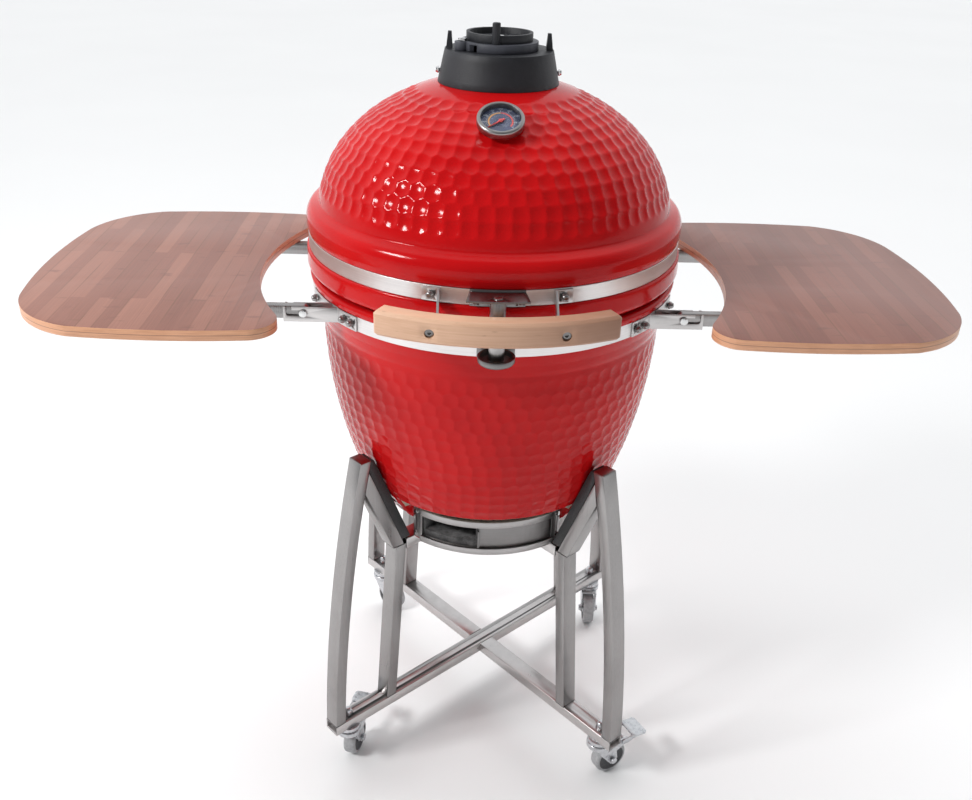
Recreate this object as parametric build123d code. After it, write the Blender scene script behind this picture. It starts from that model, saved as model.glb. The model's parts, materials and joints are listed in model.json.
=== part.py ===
from build123d import *
import math
import os

# A kamado: an egg-shaped ceramic charcoal grill in a wheeled stand, with two fold-down side shelves.
# Units are millimetres. The origin is on the floor under the egg's upright axis: +X right, +Y back, +Z up.

# ---------------------------------------------------------------- driving dimensions
CLEARANCE = 0.3            # between curved faces of different pieces
RUNNING = 0.05             # radial clearance of a shaft in its hole

# egg
BOWL_R = 264.5             # widest radius of the dimpled body
SEAM_Z = 869.5             # height of the joint between base and lid
LIP_R = 284.0              # radius of the rounded lips at the seam
WALL = 24.0                # ceramic wall thickness
BOWL_TOP_Z = 795.0         # where the body is widest, under the shoulder
BOWL_ARC_R = 770.0         # large arc of the bowl's side
BOWL_TURN_Z = 560.0        # where the side turns into the round bottom
BOTTOM_ARC_R = 250.0       # arc of the round bottom
BOWL_FLOOR_Z = 432.0       # flat underside of the bowl
DOME_BASE_Z = 953.0        # centre height of the dome's ellipse
DOME_A = 264.0             # dome ellipse, horizontal half axis
DOME_B = 194.0             # dome ellipse, vertical half axis
NECK_R = 73.0              # chimney neck, outer radius
NECK_HOLE_R = 58.0         # chimney hole radius
NECK_TOP_Z = 1160.0

# bands
BAND_H = 22.0
BAND_T = 2.0
BASE_BAND_Z = 843.0        # middle of the base band
LID_BAND_Z = 917.0         # middle of the lid band
BASE_BAND_R = 278.4        # outer radius
LID_BAND_R = 280.4

# handle
HANDLE_R = 355.0           # outer radius of the curved bar
HANDLE_T = 28.0
HANDLE_Z = 895.0
HANDLE_H = 34.0
HANDLE_HALF_X = 159.0
HANDLE_BOLT_X = 86.0
HANDLE_BOLT_Z = HANDLE_Z - 2.0

# rear hinge
HINGE_Y = 330.0
HINGE_Z = 884.0
HINGE_PIN_R = 5.0
HINGE_EYE_R = 13.0

# chimney vent
COLLAR_TOP_Z = 1181.0
COLLAR_TOP_R = 77.0
COLLAR_FOOT_R = 87.0
CAP_R = 55.0
CAP_H = 11.5
WHEEL_RING_R = 47.0
WHEEL_RING_H = 11.0
KNOB_H = 28.0
CAP_PIVOT_X = -52.0
CAP_PIVOT_Y = -20.0

# thermometer
DIAL_R = 31.5              # bezel outer radius
THERMO_R = 158.0           # distance of the probe hole from the egg's axis, on the dome

# draft door
DRAFT_R = 174.0            # face of the flat boss round the air inlet
DRAFT_TOP_Z = 498.0
DRAFT_BOTTOM_Z = 434.0
DRAFT_HALF_DEG = 38.0
RECESS_HALF_DEG = 44.0     # half width of the flat-sided recess that holds the draft frame
RAIL_H = 11.0
DOOR_T = 2.0
DOOR_SPAN_DEG = 40.5

# stand
STAND_TURN = -3.5          # the egg stands a little turned in its cart
TUBE_W = 30.0
TUBE_D = 20.0
TUBE_WALL = 1.5
BAR_TOP_Z = 107.0
FOOT_R = 346.0             # outer face of a leg at its foot
LEG_TOP_R = 274.0          # outer face of a leg at its top
LEG_TOP_Z = 608.0
LEG_BOW = 12.0
POST_FOOT_R = 226.5
POST_TOP_R = 199.0
POST_TOP_Z = 424.0
PAD_LINE_R = 225.6         # the pad's face meets the bowl here ...
PAD_LINE_Z = 549.0
PAD_SLOPE = 0.40           # ... and leans outwards this much per unit of height
PAD_T = 17.0
CASTER_R = 311.0           # swivel axis of each caster

# casters
WHEEL_R = 31.0
WHEEL_W = 22.0
CASTER_TRAIL = 24.0
SWIVEL_Z = 78.0
CASTERS = {                # corner: (bearing of the leg, heading of the wheel's trail, has a brake)
    "front_left": (225.0, 75.0, True),
    "front_right": (315.0, 29.0, True),
    "rear_left": (135.0, 319.0, False),
    "rear_right": (45.0, 268.0, False),
}

# shelves
SHELF_TOP_Z = 869.5
SHELF_T = 15.0
SHELF_MID_Y = -27.0        # middle between the two arms
BOARD_MID_Y = SHELF_MID_Y - 12.0
SHELF_IN_X = 285.0
SHELF_OUT_X = 670.0
SHELF_HALF_Y = 257.0
SHELF_CUT_DEPTH = 62.0     # hollow of the edge that faces the egg
HORN_ROUND = 38.0
ARM_W = 13.0
ARM_H = 19.0
PIN_X = 271.0              # shelf pivot pins, at the inner end of their slots
PIN_R = 4.0
SLOT_TRAVEL = 20.0
CHANNEL_W = 16.0
CHANNEL_END_X = 299.0
SHEET = 2.0
FRONT_ARM_Y = SHELF_MID_Y - 135.0
REAR_ARM_Y = SHELF_MID_Y + 135.0

CORNERS = [bearing + STAND_TURN for bearing, _, _ in CASTERS.values()]


# ---------------------------------------------------------------- helpers
def polar(radius, degrees, z=0.0):
    a = math.radians(degrees)
    return Vector(radius * math.cos(a), radius * math.sin(a), z)


def turned(shape, degrees):
    return shape.rotate(Axis.Z, degrees)


def revolve_points(points):
    """Solid of revolution about the upright axis from (radius, z) points joined by straight lines."""
    face = make_face(Plane.XZ * Polyline(*points, close=True))
    return revolve(face, Axis.Z)


def ring(r_in, r_out, z_low, z_high):
    height = z_high - z_low
    outer = Cylinder(r_out, height)
    return Pos(0, 0, z_low + height / 2) * (outer - Cylinder(r_in, height + 1))


def rod(start, end, radius):
    """Round bar from start to end."""
    start, end = Vector(*start), Vector(*end)
    along = end - start
    plane = Plane(origin=start, z_dir=along)
    return plane * Cylinder(radius, along.length, align=(Align.CENTER, Align.CENTER, Align.MIN))


def radial_rod(r_from, r_to, degrees, z, radius):
    """Level round bar that points straight out from the upright axis."""
    return rod(polar(r_from, degrees, z), polar(r_to, degrees, z), radius)


def sector(r_in, r_out, z_low, z_high, from_deg, to_deg):
    """Part of a ring between two bearings."""
    middle = (from_deg + to_deg) / 2
    face = make_face([
        ThreePointArc(polar(r_out, from_deg), polar(r_out, middle), polar(r_out, to_deg)),
        Line(polar(r_out, to_deg), polar(r_in, to_deg)),
        ThreePointArc(polar(r_in, to_deg), polar(r_in, middle), polar(r_in, from_deg)),
        Line(polar(r_in, from_deg), polar(r_out, from_deg)),
    ])
    return Pos(0, 0, z_low) * extrude(face, z_high - z_low)


def plate(points, thickness):
    """Flat plate: points are (along X, along Z) in the XZ plane, thickness centred on Y = 0."""
    face = make_face(Plane.XZ * Polyline(*points, close=True))
    return extrude(face, thickness / 2, both=True)


def side_plate(points, x, thickness):
    """Flat plate: points are (along Y, along Z), standing at the given x."""
    face = make_face(Plane.YZ * Polyline(*points, close=True))
    return Pos(x, 0, 0) * extrude(face, thickness / 2, both=True)


def dome_nut(base, out, radius, height):
    """Hexagonal nut with a domed end, standing on base and pointing along out."""
    plane = Plane(origin=base, z_dir=out)
    hexagon = extrude(RegularPolygon(radius, 6), height * 0.5)
    standing = (Align.CENTER, Align.CENTER, Align.MIN)
    dome = Pos(0, 0, height * 0.5) * Cylinder(radius * 0.8, height * 0.5, align=standing)
    dome = fillet(dome.edges().group_by(Axis.Z)[-1], height * 0.35)
    return plane * (hexagon + dome)


def write(name, *solids):
    """Write one node; several solids make a group of separate pieces."""
    flat = []
    for shape in solids:
        flat.extend(shape.solids())
    shape = flat[0] if len(flat) == 1 else Compound(children=flat)
    shape.label = name
    export_step(shape, f"parts/{name}.step")


# ---------------------------------------------------------------- ceramic shells
def side_arc_radius(z, inset=0.0):
    """Radius of the bowl's side at height z, moved in by inset."""
    drop = BOWL_TOP_Z - z
    return BOWL_R - BOWL_ARC_R + math.sqrt((BOWL_ARC_R - inset) ** 2 - drop ** 2)


TURN_ANGLE = math.asin((BOWL_TOP_Z - BOWL_TURN_Z) / BOWL_ARC_R)
BOTTOM_CENTRE_R = side_arc_radius(BOWL_TURN_Z) - BOTTOM_ARC_R * math.cos(TURN_ANGLE)
BOTTOM_CENTRE_Z = BOWL_TURN_Z + BOTTOM_ARC_R * math.sin(TURN_ANGLE)


def bottom_arc_radius(z, inset=0.0):
    """Radius of the round bottom at height z, moved in by inset."""
    rise = BOTTOM_CENTRE_Z - z
    return BOTTOM_CENTRE_R + math.sqrt((BOTTOM_ARC_R - inset) ** 2 - rise ** 2)


def bowl_side(inset, floor_z):
    """Side curve of the bowl from its widest height down to floor_z, as two tangent arcs."""
    turn = Vector(side_arc_radius(BOWL_TURN_Z) - inset * math.cos(TURN_ANGLE), 0,
                  BOWL_TURN_Z + inset * math.sin(TURN_ANGLE))
    top = Vector(BOWL_R - inset, 0, BOWL_TOP_Z)
    upper_z = (turn.Z + BOWL_TOP_Z) / 2
    lower_z = (turn.Z + floor_z) / 2
    floor = Vector(bottom_arc_radius(floor_z, inset), 0, floor_z)
    upper = ThreePointArc(top, Vector(side_arc_radius(upper_z, inset), 0, upper_z), turn)
    lower = ThreePointArc(turn, Vector(bottom_arc_radius(lower_z, inset), 0, lower_z), floor)
    return [upper, lower], top, floor


DRAFT_INLET_LOW = DRAFT_BOTTOM_Z + RAIL_H + 13.0
DRAFT_INLET_HIGH = DRAFT_TOP_Z - RAIL_H
INLET_FROM = 270 - DRAFT_HALF_DEG + 3.0
INLET_TO = 270 - 6.0
LIP_GAP = 2.5              # half the space that the two gaskets fill
BASE_TOP_Z = SEAM_Z - LIP_GAP
LID_FOOT_Z = SEAM_Z + LIP_GAP
LIP_INNER_R = 244.0
BASE_RECESS_R = BASE_BAND_R - BAND_T
LID_RECESS_R = LID_BAND_R - BAND_T
BAND_ROOM = BAND_H / 2 + 0.5


def xz(r, z):
    return Vector(r, 0, z)


def make_base_bowl():
    outer, outer_top, outer_floor = bowl_side(0.0, BOWL_FLOOR_Z)
    inner, inner_top, inner_floor = bowl_side(WALL, BOWL_FLOOR_Z + WALL)
    band_low = BASE_BAND_Z - BAND_ROOM
    band_high = BASE_BAND_Z + BAND_ROOM
    groove_foot = xz(BASE_RECESS_R, band_low)
    shoulder = ThreePointArc(groove_foot, xz(BASE_RECESS_R - 3.0, band_low - 14.0), outer_top)
    lip = ThreePointArc(xz(BASE_RECESS_R + 3.5, band_high), xz(BASE_RECESS_R + 4.5, BASE_TOP_Z - 7.0),
                        xz(BASE_RECESS_R - 1.5, BASE_TOP_Z))
    edges = outer + [
        Line(outer_floor, xz(0, BOWL_FLOOR_Z)),
        Line(xz(0, BOWL_FLOOR_Z), xz(0, BOWL_FLOOR_Z + WALL)),
        Line(xz(0, BOWL_FLOOR_Z + WALL), inner_floor),
    ] + inner + [
        Line(inner_top, xz(LIP_INNER_R, BASE_TOP_Z)),
        Line(xz(LIP_INNER_R, BASE_TOP_Z), xz(BASE_RECESS_R - 1.5, BASE_TOP_Z)),
        lip,
        Line(xz(BASE_RECESS_R + 3.5, band_high), xz(BASE_RECESS_R, band_high)),
        Line(xz(BASE_RECESS_R, band_high), groove_foot),
        shoulder,
    ]
    bowl = revolve(make_face(edges), Axis.Z)
    from_deg, to_deg = 270 - RECESS_HALF_DEG, 270 + RECESS_HALF_DEG
    top = DRAFT_TOP_Z + 1
    low, far_r = BOWL_FLOOR_Z - 30, BOWL_R + 35
    recess = revolve_points([
        (DRAFT_R, low), (DRAFT_R, top), (DRAFT_R + 46, top + 28), (far_r, top + 28), (far_r, low),
    ])
    recess &= sector(100.0, far_r + 20, low, top + 100, from_deg, to_deg)
    boss = sector(DRAFT_R - 20, DRAFT_R, DRAFT_BOTTOM_Z, top, from_deg, to_deg)
    boss += sector(DRAFT_R - 60, DRAFT_R, DRAFT_BOTTOM_Z, BOWL_FLOOR_Z + WALL, from_deg, to_deg)
    boss += sector(DRAFT_R - 13, DRAFT_R, top - 9, top + 8, from_deg, to_deg)
    inlet = sector(90.0, DRAFT_R + 5, DRAFT_INLET_LOW, DRAFT_INLET_HIGH, INLET_FROM, INLET_TO)
    return bowl - recess + boss - inlet


def dome_z(radius, inset=0.0):
    return DOME_BASE_Z + (DOME_B - inset) * math.sqrt(1 - (radius / (DOME_A - inset)) ** 2)


def make_lid_dome():
    band_low = LID_BAND_Z - BAND_ROOM
    band_high = LID_BAND_Z + BAND_ROOM
    crease_z = dome_z(DOME_A - 1.2)
    rim_shoulder = xz(LIP_R - 1.5, crease_z - 22)
    rim_top = ThreePointArc(rim_shoulder, xz(LIP_R - 6.0, crease_z - 5.5), xz(DOME_A - 1.2, crease_z))
    rim_side = ThreePointArc(xz(LID_RECESS_R + 1.5, band_high), xz(LIP_R - 2.2, band_high + 9), rim_shoulder)
    lip_top = xz(LIP_R, LID_FOOT_Z + 14)
    lip = ThreePointArc(xz(LIP_R - 9.0, LID_FOOT_Z), xz(LIP_R - 1.2, LID_FOOT_Z + 6), lip_top)
    body = make_face([
        lip,
        Line(lip_top, xz(LIP_R - 1.0, band_low)),
        Line(xz(LIP_R - 1.0, band_low), xz(LID_RECESS_R, band_low)),
        Line(xz(LID_RECESS_R, band_low), xz(LID_RECESS_R, band_high)),
        Line(xz(LID_RECESS_R, band_high), xz(LID_RECESS_R + 1.5, band_high)),
        rim_side,
        rim_top,
        Line(xz(DOME_A - 1.2, crease_z), xz(0, crease_z)),
        Line(xz(0, crease_z), xz(0, LID_FOOT_Z)),
        Line(xz(0, LID_FOOT_Z), xz(LIP_R - 9.0, LID_FOOT_Z)),
    ])
    dome = make_face([
        dome_quarter(DOME_A, DOME_B),
        Line(xz(0, DOME_BASE_Z + DOME_B), xz(0, DOME_BASE_Z)),
        Line(xz(0, DOME_BASE_Z), xz(DOME_A, DOME_BASE_Z)),
    ])
    inside = make_face([
        dome_quarter(DOME_A - WALL, DOME_B - WALL),
        Line(xz(0, DOME_BASE_Z + DOME_B - WALL), xz(0, DOME_BASE_Z)),
        Line(xz(0, DOME_BASE_Z), xz(DOME_A - WALL, DOME_BASE_Z)),
    ])
    shell = revolve(body, Axis.Z) + revolve(dome, Axis.Z)
    shell += ring(NECK_HOLE_R, NECK_R, DOME_BASE_Z + 100, NECK_TOP_Z)
    shell -= revolve(inside, Axis.Z)
    below = LID_FOOT_Z - 1
    shell -= revolve_points([(0, below), (LIP_INNER_R, below), (LIP_INNER_R, LID_FOOT_Z + 30),
                             (DOME_A - WALL, DOME_BASE_Z), (0, DOME_BASE_Z)])
    shell -= Pos(0, 0, NECK_TOP_Z) * Cylinder(NECK_HOLE_R, 200)
    probe_axis = thermo_plane()
    return shell - probe_axis * Cylinder(PROBE_R + CLEARANCE, 120)


def dome_quarter(a, b):
    """Quarter ellipse in the XZ plane from (a, base) to (0, base + b)."""
    flat = EllipticalCenterArc((0, 0), a, b, start_angle=0, arc_size=90)
    return Plane(origin=(0, 0, DOME_BASE_Z), x_dir=(1, 0, 0), z_dir=(0, -1, 0)) * flat


GASKET_T = 2.3
GASKET_OUT_R = 268.0


def make_gaskets():
    lid = ring(LIP_INNER_R + 2, GASKET_OUT_R, LID_FOOT_Z - GASKET_T, LID_FOOT_Z)
    base = ring(LIP_INNER_R + 2, GASKET_OUT_R, BASE_TOP_Z, BASE_TOP_Z + GASKET_T)
    return lid, base


# ---------------------------------------------------------------- inside the bowl
FIRE_FLOOR_Z = BOWL_FLOOR_Z + WALL + CLEARANCE
FIRE_TOP_Z = 700.0
FIRE_RING_TOP_Z = 800.0
FIRE_RING_IN_R = 190.0
FIRE_RING_OUT_R = 212.0
ASH_HOLE_R = 55.0
GRATE_Z = 480.0            # the charcoal grate lies on the fire bowl's floor at this height


def make_fire_bowl():
    body = revolve_points([
        (ASH_HOLE_R, FIRE_FLOOR_Z), (114, FIRE_FLOOR_Z), (158, 505), (191, 570), (208, 640),
        (FIRE_RING_OUT_R, FIRE_TOP_Z), (FIRE_RING_IN_R, FIRE_TOP_Z), (187, 645), (170, 580), (139, 520),
        (100, GRATE_Z), (ASH_HOLE_R, GRATE_Z),
    ])
    for k in range(8):
        body -= radial_rod(110, 230, 22.5 + 45 * k, 560, 9.0)
    notch = sector(95, 240, FIRE_FLOOR_Z - 1, 488, 270 - 26, 270 + 26)
    return body - notch


def make_fire_ring():
    body = ring(FIRE_RING_IN_R, FIRE_RING_OUT_R, FIRE_TOP_Z + CLEARANCE, FIRE_RING_TOP_Z)
    for k in range(4):
        body -= Pos(0, 0, FIRE_RING_TOP_Z) * turned(Pos(200, 0, 0) * Box(60, 46, 24), 45 + 90 * k)
    return body


def make_charcoal_grate():
    thickness = 8.0
    middle_z = GRATE_Z + CLEARANCE + thickness / 2
    disc = Pos(0, 0, middle_z) * Cylinder(96.0, thickness)
    for row_r, count in ((28.0, 6), (54.0, 12), (80.0, 18)):
        for k in range(count):
            disc -= Pos(*polar(row_r, 360 * k / count, middle_z)) * Cylinder(6.5, 20)
    return disc


def make_cooking_grate():
    rim_r = 222.0
    wire_r = 3.0
    z = FIRE_RING_TOP_Z + CLEARANCE + wire_r
    wires = []
    for k in range(-10, 11):
        x = 20.0 * k
        half = math.sqrt(rim_r ** 2 - x ** 2)
        wires.append(rod((x, -half, z), (x, half, z), wire_r * 0.8))
    for y in (-90.0, 90.0):
        half = math.sqrt(rim_r ** 2 - y ** 2)
        wires.append(rod((-half, y, z + 1), (half, y, z + 1), wire_r))
    return ring(rim_r - wire_r, rim_r + wire_r, z - wire_r, z + wire_r).fuse(*wires)


# ---------------------------------------------------------------- bands, handle and latch
STRAP_T = 3.0
STRAP_H = 19.0
BOLT_R = 3.0
BOLT_HOLE_R = 3.3


def band(outer_r, middle_z, bolts):
    body = ring(outer_r - BAND_T, outer_r, middle_z - BAND_H / 2, middle_z + BAND_H / 2)
    for degrees, dz in bolts:
        body -= radial_rod(outer_r - 10, outer_r + 10, degrees, middle_z + dz, BOLT_HOLE_R)
    return body


def handle_bearing(side):
    return 270 + side * math.degrees(math.asin(HANDLE_BOLT_X / LID_BAND_R))


LATCH_SCREW_DEG = 6.0
HINGE_LID_BOLT_DEG = 3.2
HINGE_BASE_BOLT_DEG = 8.0


def lid_band_bolts():
    bolts = [(handle_bearing(side), 0.0) for side in (-1, 1)]
    bolts += [(270 + side * LATCH_SCREW_DEG, -5.0) for side in (-1, 1)]
    bolts += [(90 + side * HINGE_LID_BOLT_DEG, 0.0) for side in (-1, 1)]
    return bolts


BRACKET_BOLT_OFFSETS = (5.4, 9.0, -13.2)     # degrees from the channel of a shelf bracket


def bracket_bearing(y):
    """Bearing of a right-hand shelf bracket, and the turning direction away from the boards' middle."""
    return math.degrees(math.asin(y / BASE_BAND_R)), math.copysign(1, y)


def shelf_bolt_bearings():
    """Bearings of the three bolts of each of the four shelf brackets."""
    bearings = []
    for arm_y in (FRONT_ARM_Y, REAR_ARM_Y):
        bearing, ahead = bracket_bearing(arm_y)
        for offset in BRACKET_BOLT_OFFSETS:
            right = bearing + ahead * offset
            bearings += [right, 180 - right]
    return bearings


def base_band_bolts():
    bolts = [(bearing, 0.0) for bearing in shelf_bolt_bearings()]
    bolts += [(90 + side * HINGE_BASE_BOLT_DEG, 0.0) for side in (-1, 1)]
    return bolts


def surface_bolt(band_r, degrees, z, stand_off, nut_r=6.2, nut_h=8.5):
    """Stud through a band with a domed nut standing on whatever is stand_off outside the band."""
    out = polar(1, degrees)
    shank = radial_rod(band_r - BAND_T + 0.3, band_r + stand_off + 1, degrees, z, BOLT_R)
    return dome_nut(polar(band_r + stand_off, degrees, z), out, nut_r, nut_h) + shank


HANDLE_SINK_Y = -335.0     # floor of the countersinks in the handle's face


def handle_rod(side, from_y, to_y, radius):
    """Round bar along the axis of one of the handle's two bolts."""
    x = side * HANDLE_BOLT_X
    return rod((x, from_y, HANDLE_BOLT_Z), (x, to_y, HANDLE_BOLT_Z), radius)


def make_handle_bar():
    half_deg = math.degrees(math.asin(HANDLE_HALF_X / HANDLE_R))
    low, high = HANDLE_Z - HANDLE_H / 2, HANDLE_Z + HANDLE_H / 2
    bar = sector(HANDLE_R - HANDLE_T, HANDLE_R, low, high, 270 - half_deg, 270 + half_deg)
    bar = fillet(bar.edges().filter_by(Axis.Z), 5.0)
    long_edges = [e for e in bar.edges() if e.length > 200]
    bar = chamfer(long_edges, 4.0)
    for side in (-1, 1):
        hole = handle_rod(side, -HANDLE_R - 5, -LID_BAND_R, BOLT_HOLE_R)
        sink = handle_rod(side, -HANDLE_R - 5, HANDLE_SINK_Y, 6.3)
        bar -= hole + sink
    return bar


def make_handle_brackets():
    """Bent straps from the lid band out to the back of the handle."""
    solids = []
    strap_x = HANDLE_BOLT_X - 9.0
    band_y = -math.sqrt(LID_BAND_R ** 2 - strap_x ** 2)
    back_y = -math.sqrt((HANDLE_R - HANDLE_T) ** 2 - HANDLE_BOLT_X ** 2)
    for side in (-1, 1):
        web = side_plate([
            (band_y - 0.8, LID_BAND_Z - STRAP_H / 2), (band_y - 0.8, LID_BAND_Z + STRAP_H / 2),
            (back_y + 3, HANDLE_BOLT_Z + STRAP_H / 2), (back_y + 3, HANDLE_BOLT_Z - STRAP_H / 2),
        ], side * strap_x, STRAP_T)
        bearing = handle_bearing(side)
        reach = side * 2.6
        foot = sector(LID_BAND_R + 0.2, LID_BAND_R + 2.7, LID_BAND_Z - STRAP_H / 2, LID_BAND_Z + STRAP_H / 2,
                      min(bearing - reach, bearing + reach), max(bearing - reach, bearing + reach))
        tab = Pos(side * (HANDLE_BOLT_X - 1.0), back_y + 4.5, HANDLE_BOLT_Z) * Box(21, STRAP_T, STRAP_H)
        strap = web + foot + tab
        strap -= handle_rod(side, back_y - 5, back_y + 12, BOLT_HOLE_R)
        strap -= radial_rod(LID_BAND_R - 5, LID_BAND_R + 9, bearing, LID_BAND_Z, BOLT_HOLE_R)
        solids.append(strap)
    return solids


def make_lid_fasteners():
    """Domed nuts on the lid band, and the countersunk bolts of the handle with their nuts."""
    solids = []
    back_y = -math.sqrt((HANDLE_R - HANDLE_T) ** 2 - HANDLE_BOLT_X ** 2)
    for side in (-1, 1):
        solids.append(surface_bolt(LID_BAND_R, handle_bearing(side), LID_BAND_Z, 2.8))
        solids.append(surface_bolt(LID_BAND_R, 270 + side * LATCH_SCREW_DEG, LID_BAND_Z - 5, 2.8, 4.5, 4.5))
        solids.append(surface_bolt(LID_BAND_R, 90 + side * HINGE_LID_BOLT_DEG, LID_BAND_Z, 3.5))
        x = side * HANDLE_BOLT_X
        head_y = HANDLE_SINK_Y - 6
        head = handle_rod(side, head_y, HANDLE_SINK_Y - 0.2, 5.8)
        socket = Plane(origin=(x, head_y, HANDLE_BOLT_Z), z_dir=(0, -1, 0))
        head -= socket * extrude(RegularPolygon(2.6, 6), -3.0)
        shank = handle_rod(side, HANDLE_SINK_Y - 1, back_y + 8, BOLT_R)
        nut_face = Plane(origin=(x, back_y + 6.1, HANDLE_BOLT_Z), z_dir=(0, 1, 0))
        nut = nut_face * extrude(RegularPolygon(5.5, 6), 4.5)
        solids.append(head + shank + nut)
    return solids


LATCH_HALF_DEG = 7.4
BARREL_R = 10.5
BARREL_Y = -304.0
CUP_R = 25.0
LATCH_TRAY_Z = LID_BAND_Z + 7.0


def make_latch_bracket():
    """Sheet bracket on the lid band: a curved back and a shelf that holds the barrel."""
    back = sector(LID_BAND_R + 0.2, LID_BAND_R + 2.7, LID_BAND_Z - 11, LID_BAND_Z + 12,
                  270 - LATCH_HALF_DEG, 270 + LATCH_HALF_DEG)
    tray_front = BARREL_R - BARREL_Y + 3.5
    body = back + sector(LID_BAND_R + 0.2, tray_front, LATCH_TRAY_Z, LATCH_TRAY_Z + 2.5,
                         270 - LATCH_HALF_DEG, 270 + LATCH_HALF_DEG)
    body -= rod((0, BARREL_Y, LID_BAND_Z - 30), (0, BARREL_Y, LID_BAND_Z + 30), 6.0)
    for side in (-1, 1):
        bearing = 270 + side * LATCH_SCREW_DEG
        body -= radial_rod(LID_BAND_R - 5, LID_BAND_R + 9, bearing, LID_BAND_Z - 5, BOLT_HOLE_R)
    return body


CUP_FLOOR_Z = BASE_BAND_Z - 7.0


def make_latch_barrel():
    """Polished post that hangs from the bracket into the cup when the lid is shut."""
    top_z = LATCH_TRAY_Z - 0.1
    foot_z = CUP_FLOOR_Z + 3.6
    barrel = rod((0, BARREL_Y, foot_z), (0, BARREL_Y, top_z), BARREL_R)
    barrel = fillet(barrel.edges().group_by(Axis.Z)[0], 3.0)
    stud = rod((0, BARREL_Y, top_z - 1), (0, BARREL_Y, LATCH_TRAY_Z + 3.2), 5.9)
    return barrel + stud


def make_latch_cup():
    """Half-round dish on the base band that guides the barrel."""
    dish = Pos(0, BARREL_Y, CUP_FLOOR_Z + 5) * Cylinder(CUP_R, 10)
    dish = fillet(dish.edges().group_by(Axis.Z)[0], 5.0)
    hollow = Pos(0, BARREL_Y, CUP_FLOOR_Z + 10) * Cylinder(CUP_R - 3, 14)
    dish -= hollow
    dish -= Pos(0, 0, BASE_BAND_Z) * Cylinder(BASE_BAND_R + 0.2, 60)
    half = 5.2
    tab = sector(BASE_BAND_R + 0.2, BASE_BAND_R + 2.7, BASE_BAND_Z - 10, BASE_BAND_Z + 8,
                 270 - half, 270 + half)
    return dish + tab - hollow


# ---------------------------------------------------------------- rear hinge
BASE_EAR_X = 60.0
LID_EAR_X = 30.0
EAR_T = 4.0
HINGE_BACK_Y = HANDLE_R    # the hinge reaches as far back as the handle reaches forward
SPRING_WIRE_R = 1.6
SPRING_R = 9.5


def hinge_eye(x, thickness):
    return rod((x - thickness / 2, HINGE_Y, HINGE_Z), (x + thickness / 2, HINGE_Y, HINGE_Z), HINGE_EYE_R)


def make_hinge_base():
    """Plate on the base band with two ears that carry the hinge pin."""
    low, high = BASE_BAND_Z - BAND_H / 2, BASE_BAND_Z + BAND_H / 2
    half = 14.5
    foot_y = math.sqrt((BASE_BAND_R + 0.5) ** 2 - BASE_EAR_X ** 2)
    body = sector(BASE_BAND_R + 0.2, BASE_BAND_R + 3.2, low, high, 90 - half, 90 + half)
    for side in (-1, 1):
        ear = side_plate([
            (foot_y + 1, low), (foot_y + 1, high), (HINGE_Y - HINGE_EYE_R * 0.9, HINGE_Z + 6),
            (HINGE_Y + 9, HINGE_Z), (HINGE_Y + HINGE_EYE_R * 0.9, HINGE_Z - 9), (HINGE_Y - 8, low),
        ], side * BASE_EAR_X, EAR_T)
        body += ear + hinge_eye(side * BASE_EAR_X, EAR_T)
    tie = Pos(0, HINGE_Y + 20.0, HINGE_Z - 30) * Box(2 * BASE_EAR_X + EAR_T, 10, 8)
    for side in (-1, 1):
        body += side_plate([
            (HINGE_Y - 10, HINGE_Z - 20), (HINGE_Y + 10, HINGE_Z - 10), (HINGE_BACK_Y, HINGE_Z - 26),
            (HINGE_BACK_Y, HINGE_Z - 34), (HINGE_Y - 10, HINGE_Z - 40),
        ], side * BASE_EAR_X, EAR_T)
    body += tie
    body -= rod((-80, HINGE_Y, HINGE_Z), (80, HINGE_Y, HINGE_Z), HINGE_PIN_R + RUNNING)
    for side in (-1, 1):
        bearing = 90 + side * HINGE_BASE_BOLT_DEG
        body -= radial_rod(BASE_BAND_R - 5, BASE_BAND_R + 9, bearing, BASE_BAND_Z, BOLT_HOLE_R)
    return body


def make_hinge_lid():
    """Plate on the lid band with two ears that turn on the hinge pin."""
    low, high = LID_BAND_Z - BAND_H / 2, LID_BAND_Z + BAND_H / 2
    half = 7.5
    foot_y = math.sqrt((LID_BAND_R + 0.5) ** 2 - LID_EAR_X ** 2)
    body = sector(LID_BAND_R + 0.2, LID_BAND_R + 3.4, low, high, 90 - half, 90 + half)
    for side in (-1, 1):
        ear = side_plate([
            (foot_y + 1, low + 2), (foot_y + 1, high), (foot_y + 14, high), (HINGE_Y + 9, HINGE_Z + 9),
            (HINGE_Y, HINGE_Z - 6), (HINGE_Y - 11, HINGE_Z), (foot_y + 8, low + 2),
        ], side * LID_EAR_X, EAR_T)
        body += ear + hinge_eye(side * LID_EAR_X, EAR_T)
    body -= rod((-80, HINGE_Y, HINGE_Z), (80, HINGE_Y, HINGE_Z), HINGE_PIN_R + RUNNING)
    for side in (-1, 1):
        bearing = 90 + side * HINGE_LID_BOLT_DEG
        body -= radial_rod(LID_BAND_R - 5, LID_BAND_R + 9, bearing, LID_BAND_Z, BOLT_HOLE_R)
    return body


def make_hinge_pin():
    end_x = BASE_EAR_X + EAR_T / 2
    pin = rod((-end_x - 6, HINGE_Y, HINGE_Z), (end_x + 6, HINGE_Y, HINGE_Z), HINGE_PIN_R)
    for side in (-1, 1):
        pin += rod((side * (end_x + 0.3), HINGE_Y, HINGE_Z), (side * (end_x + 5), HINGE_Y, HINGE_Z), 8.5)
    return pin


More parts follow.
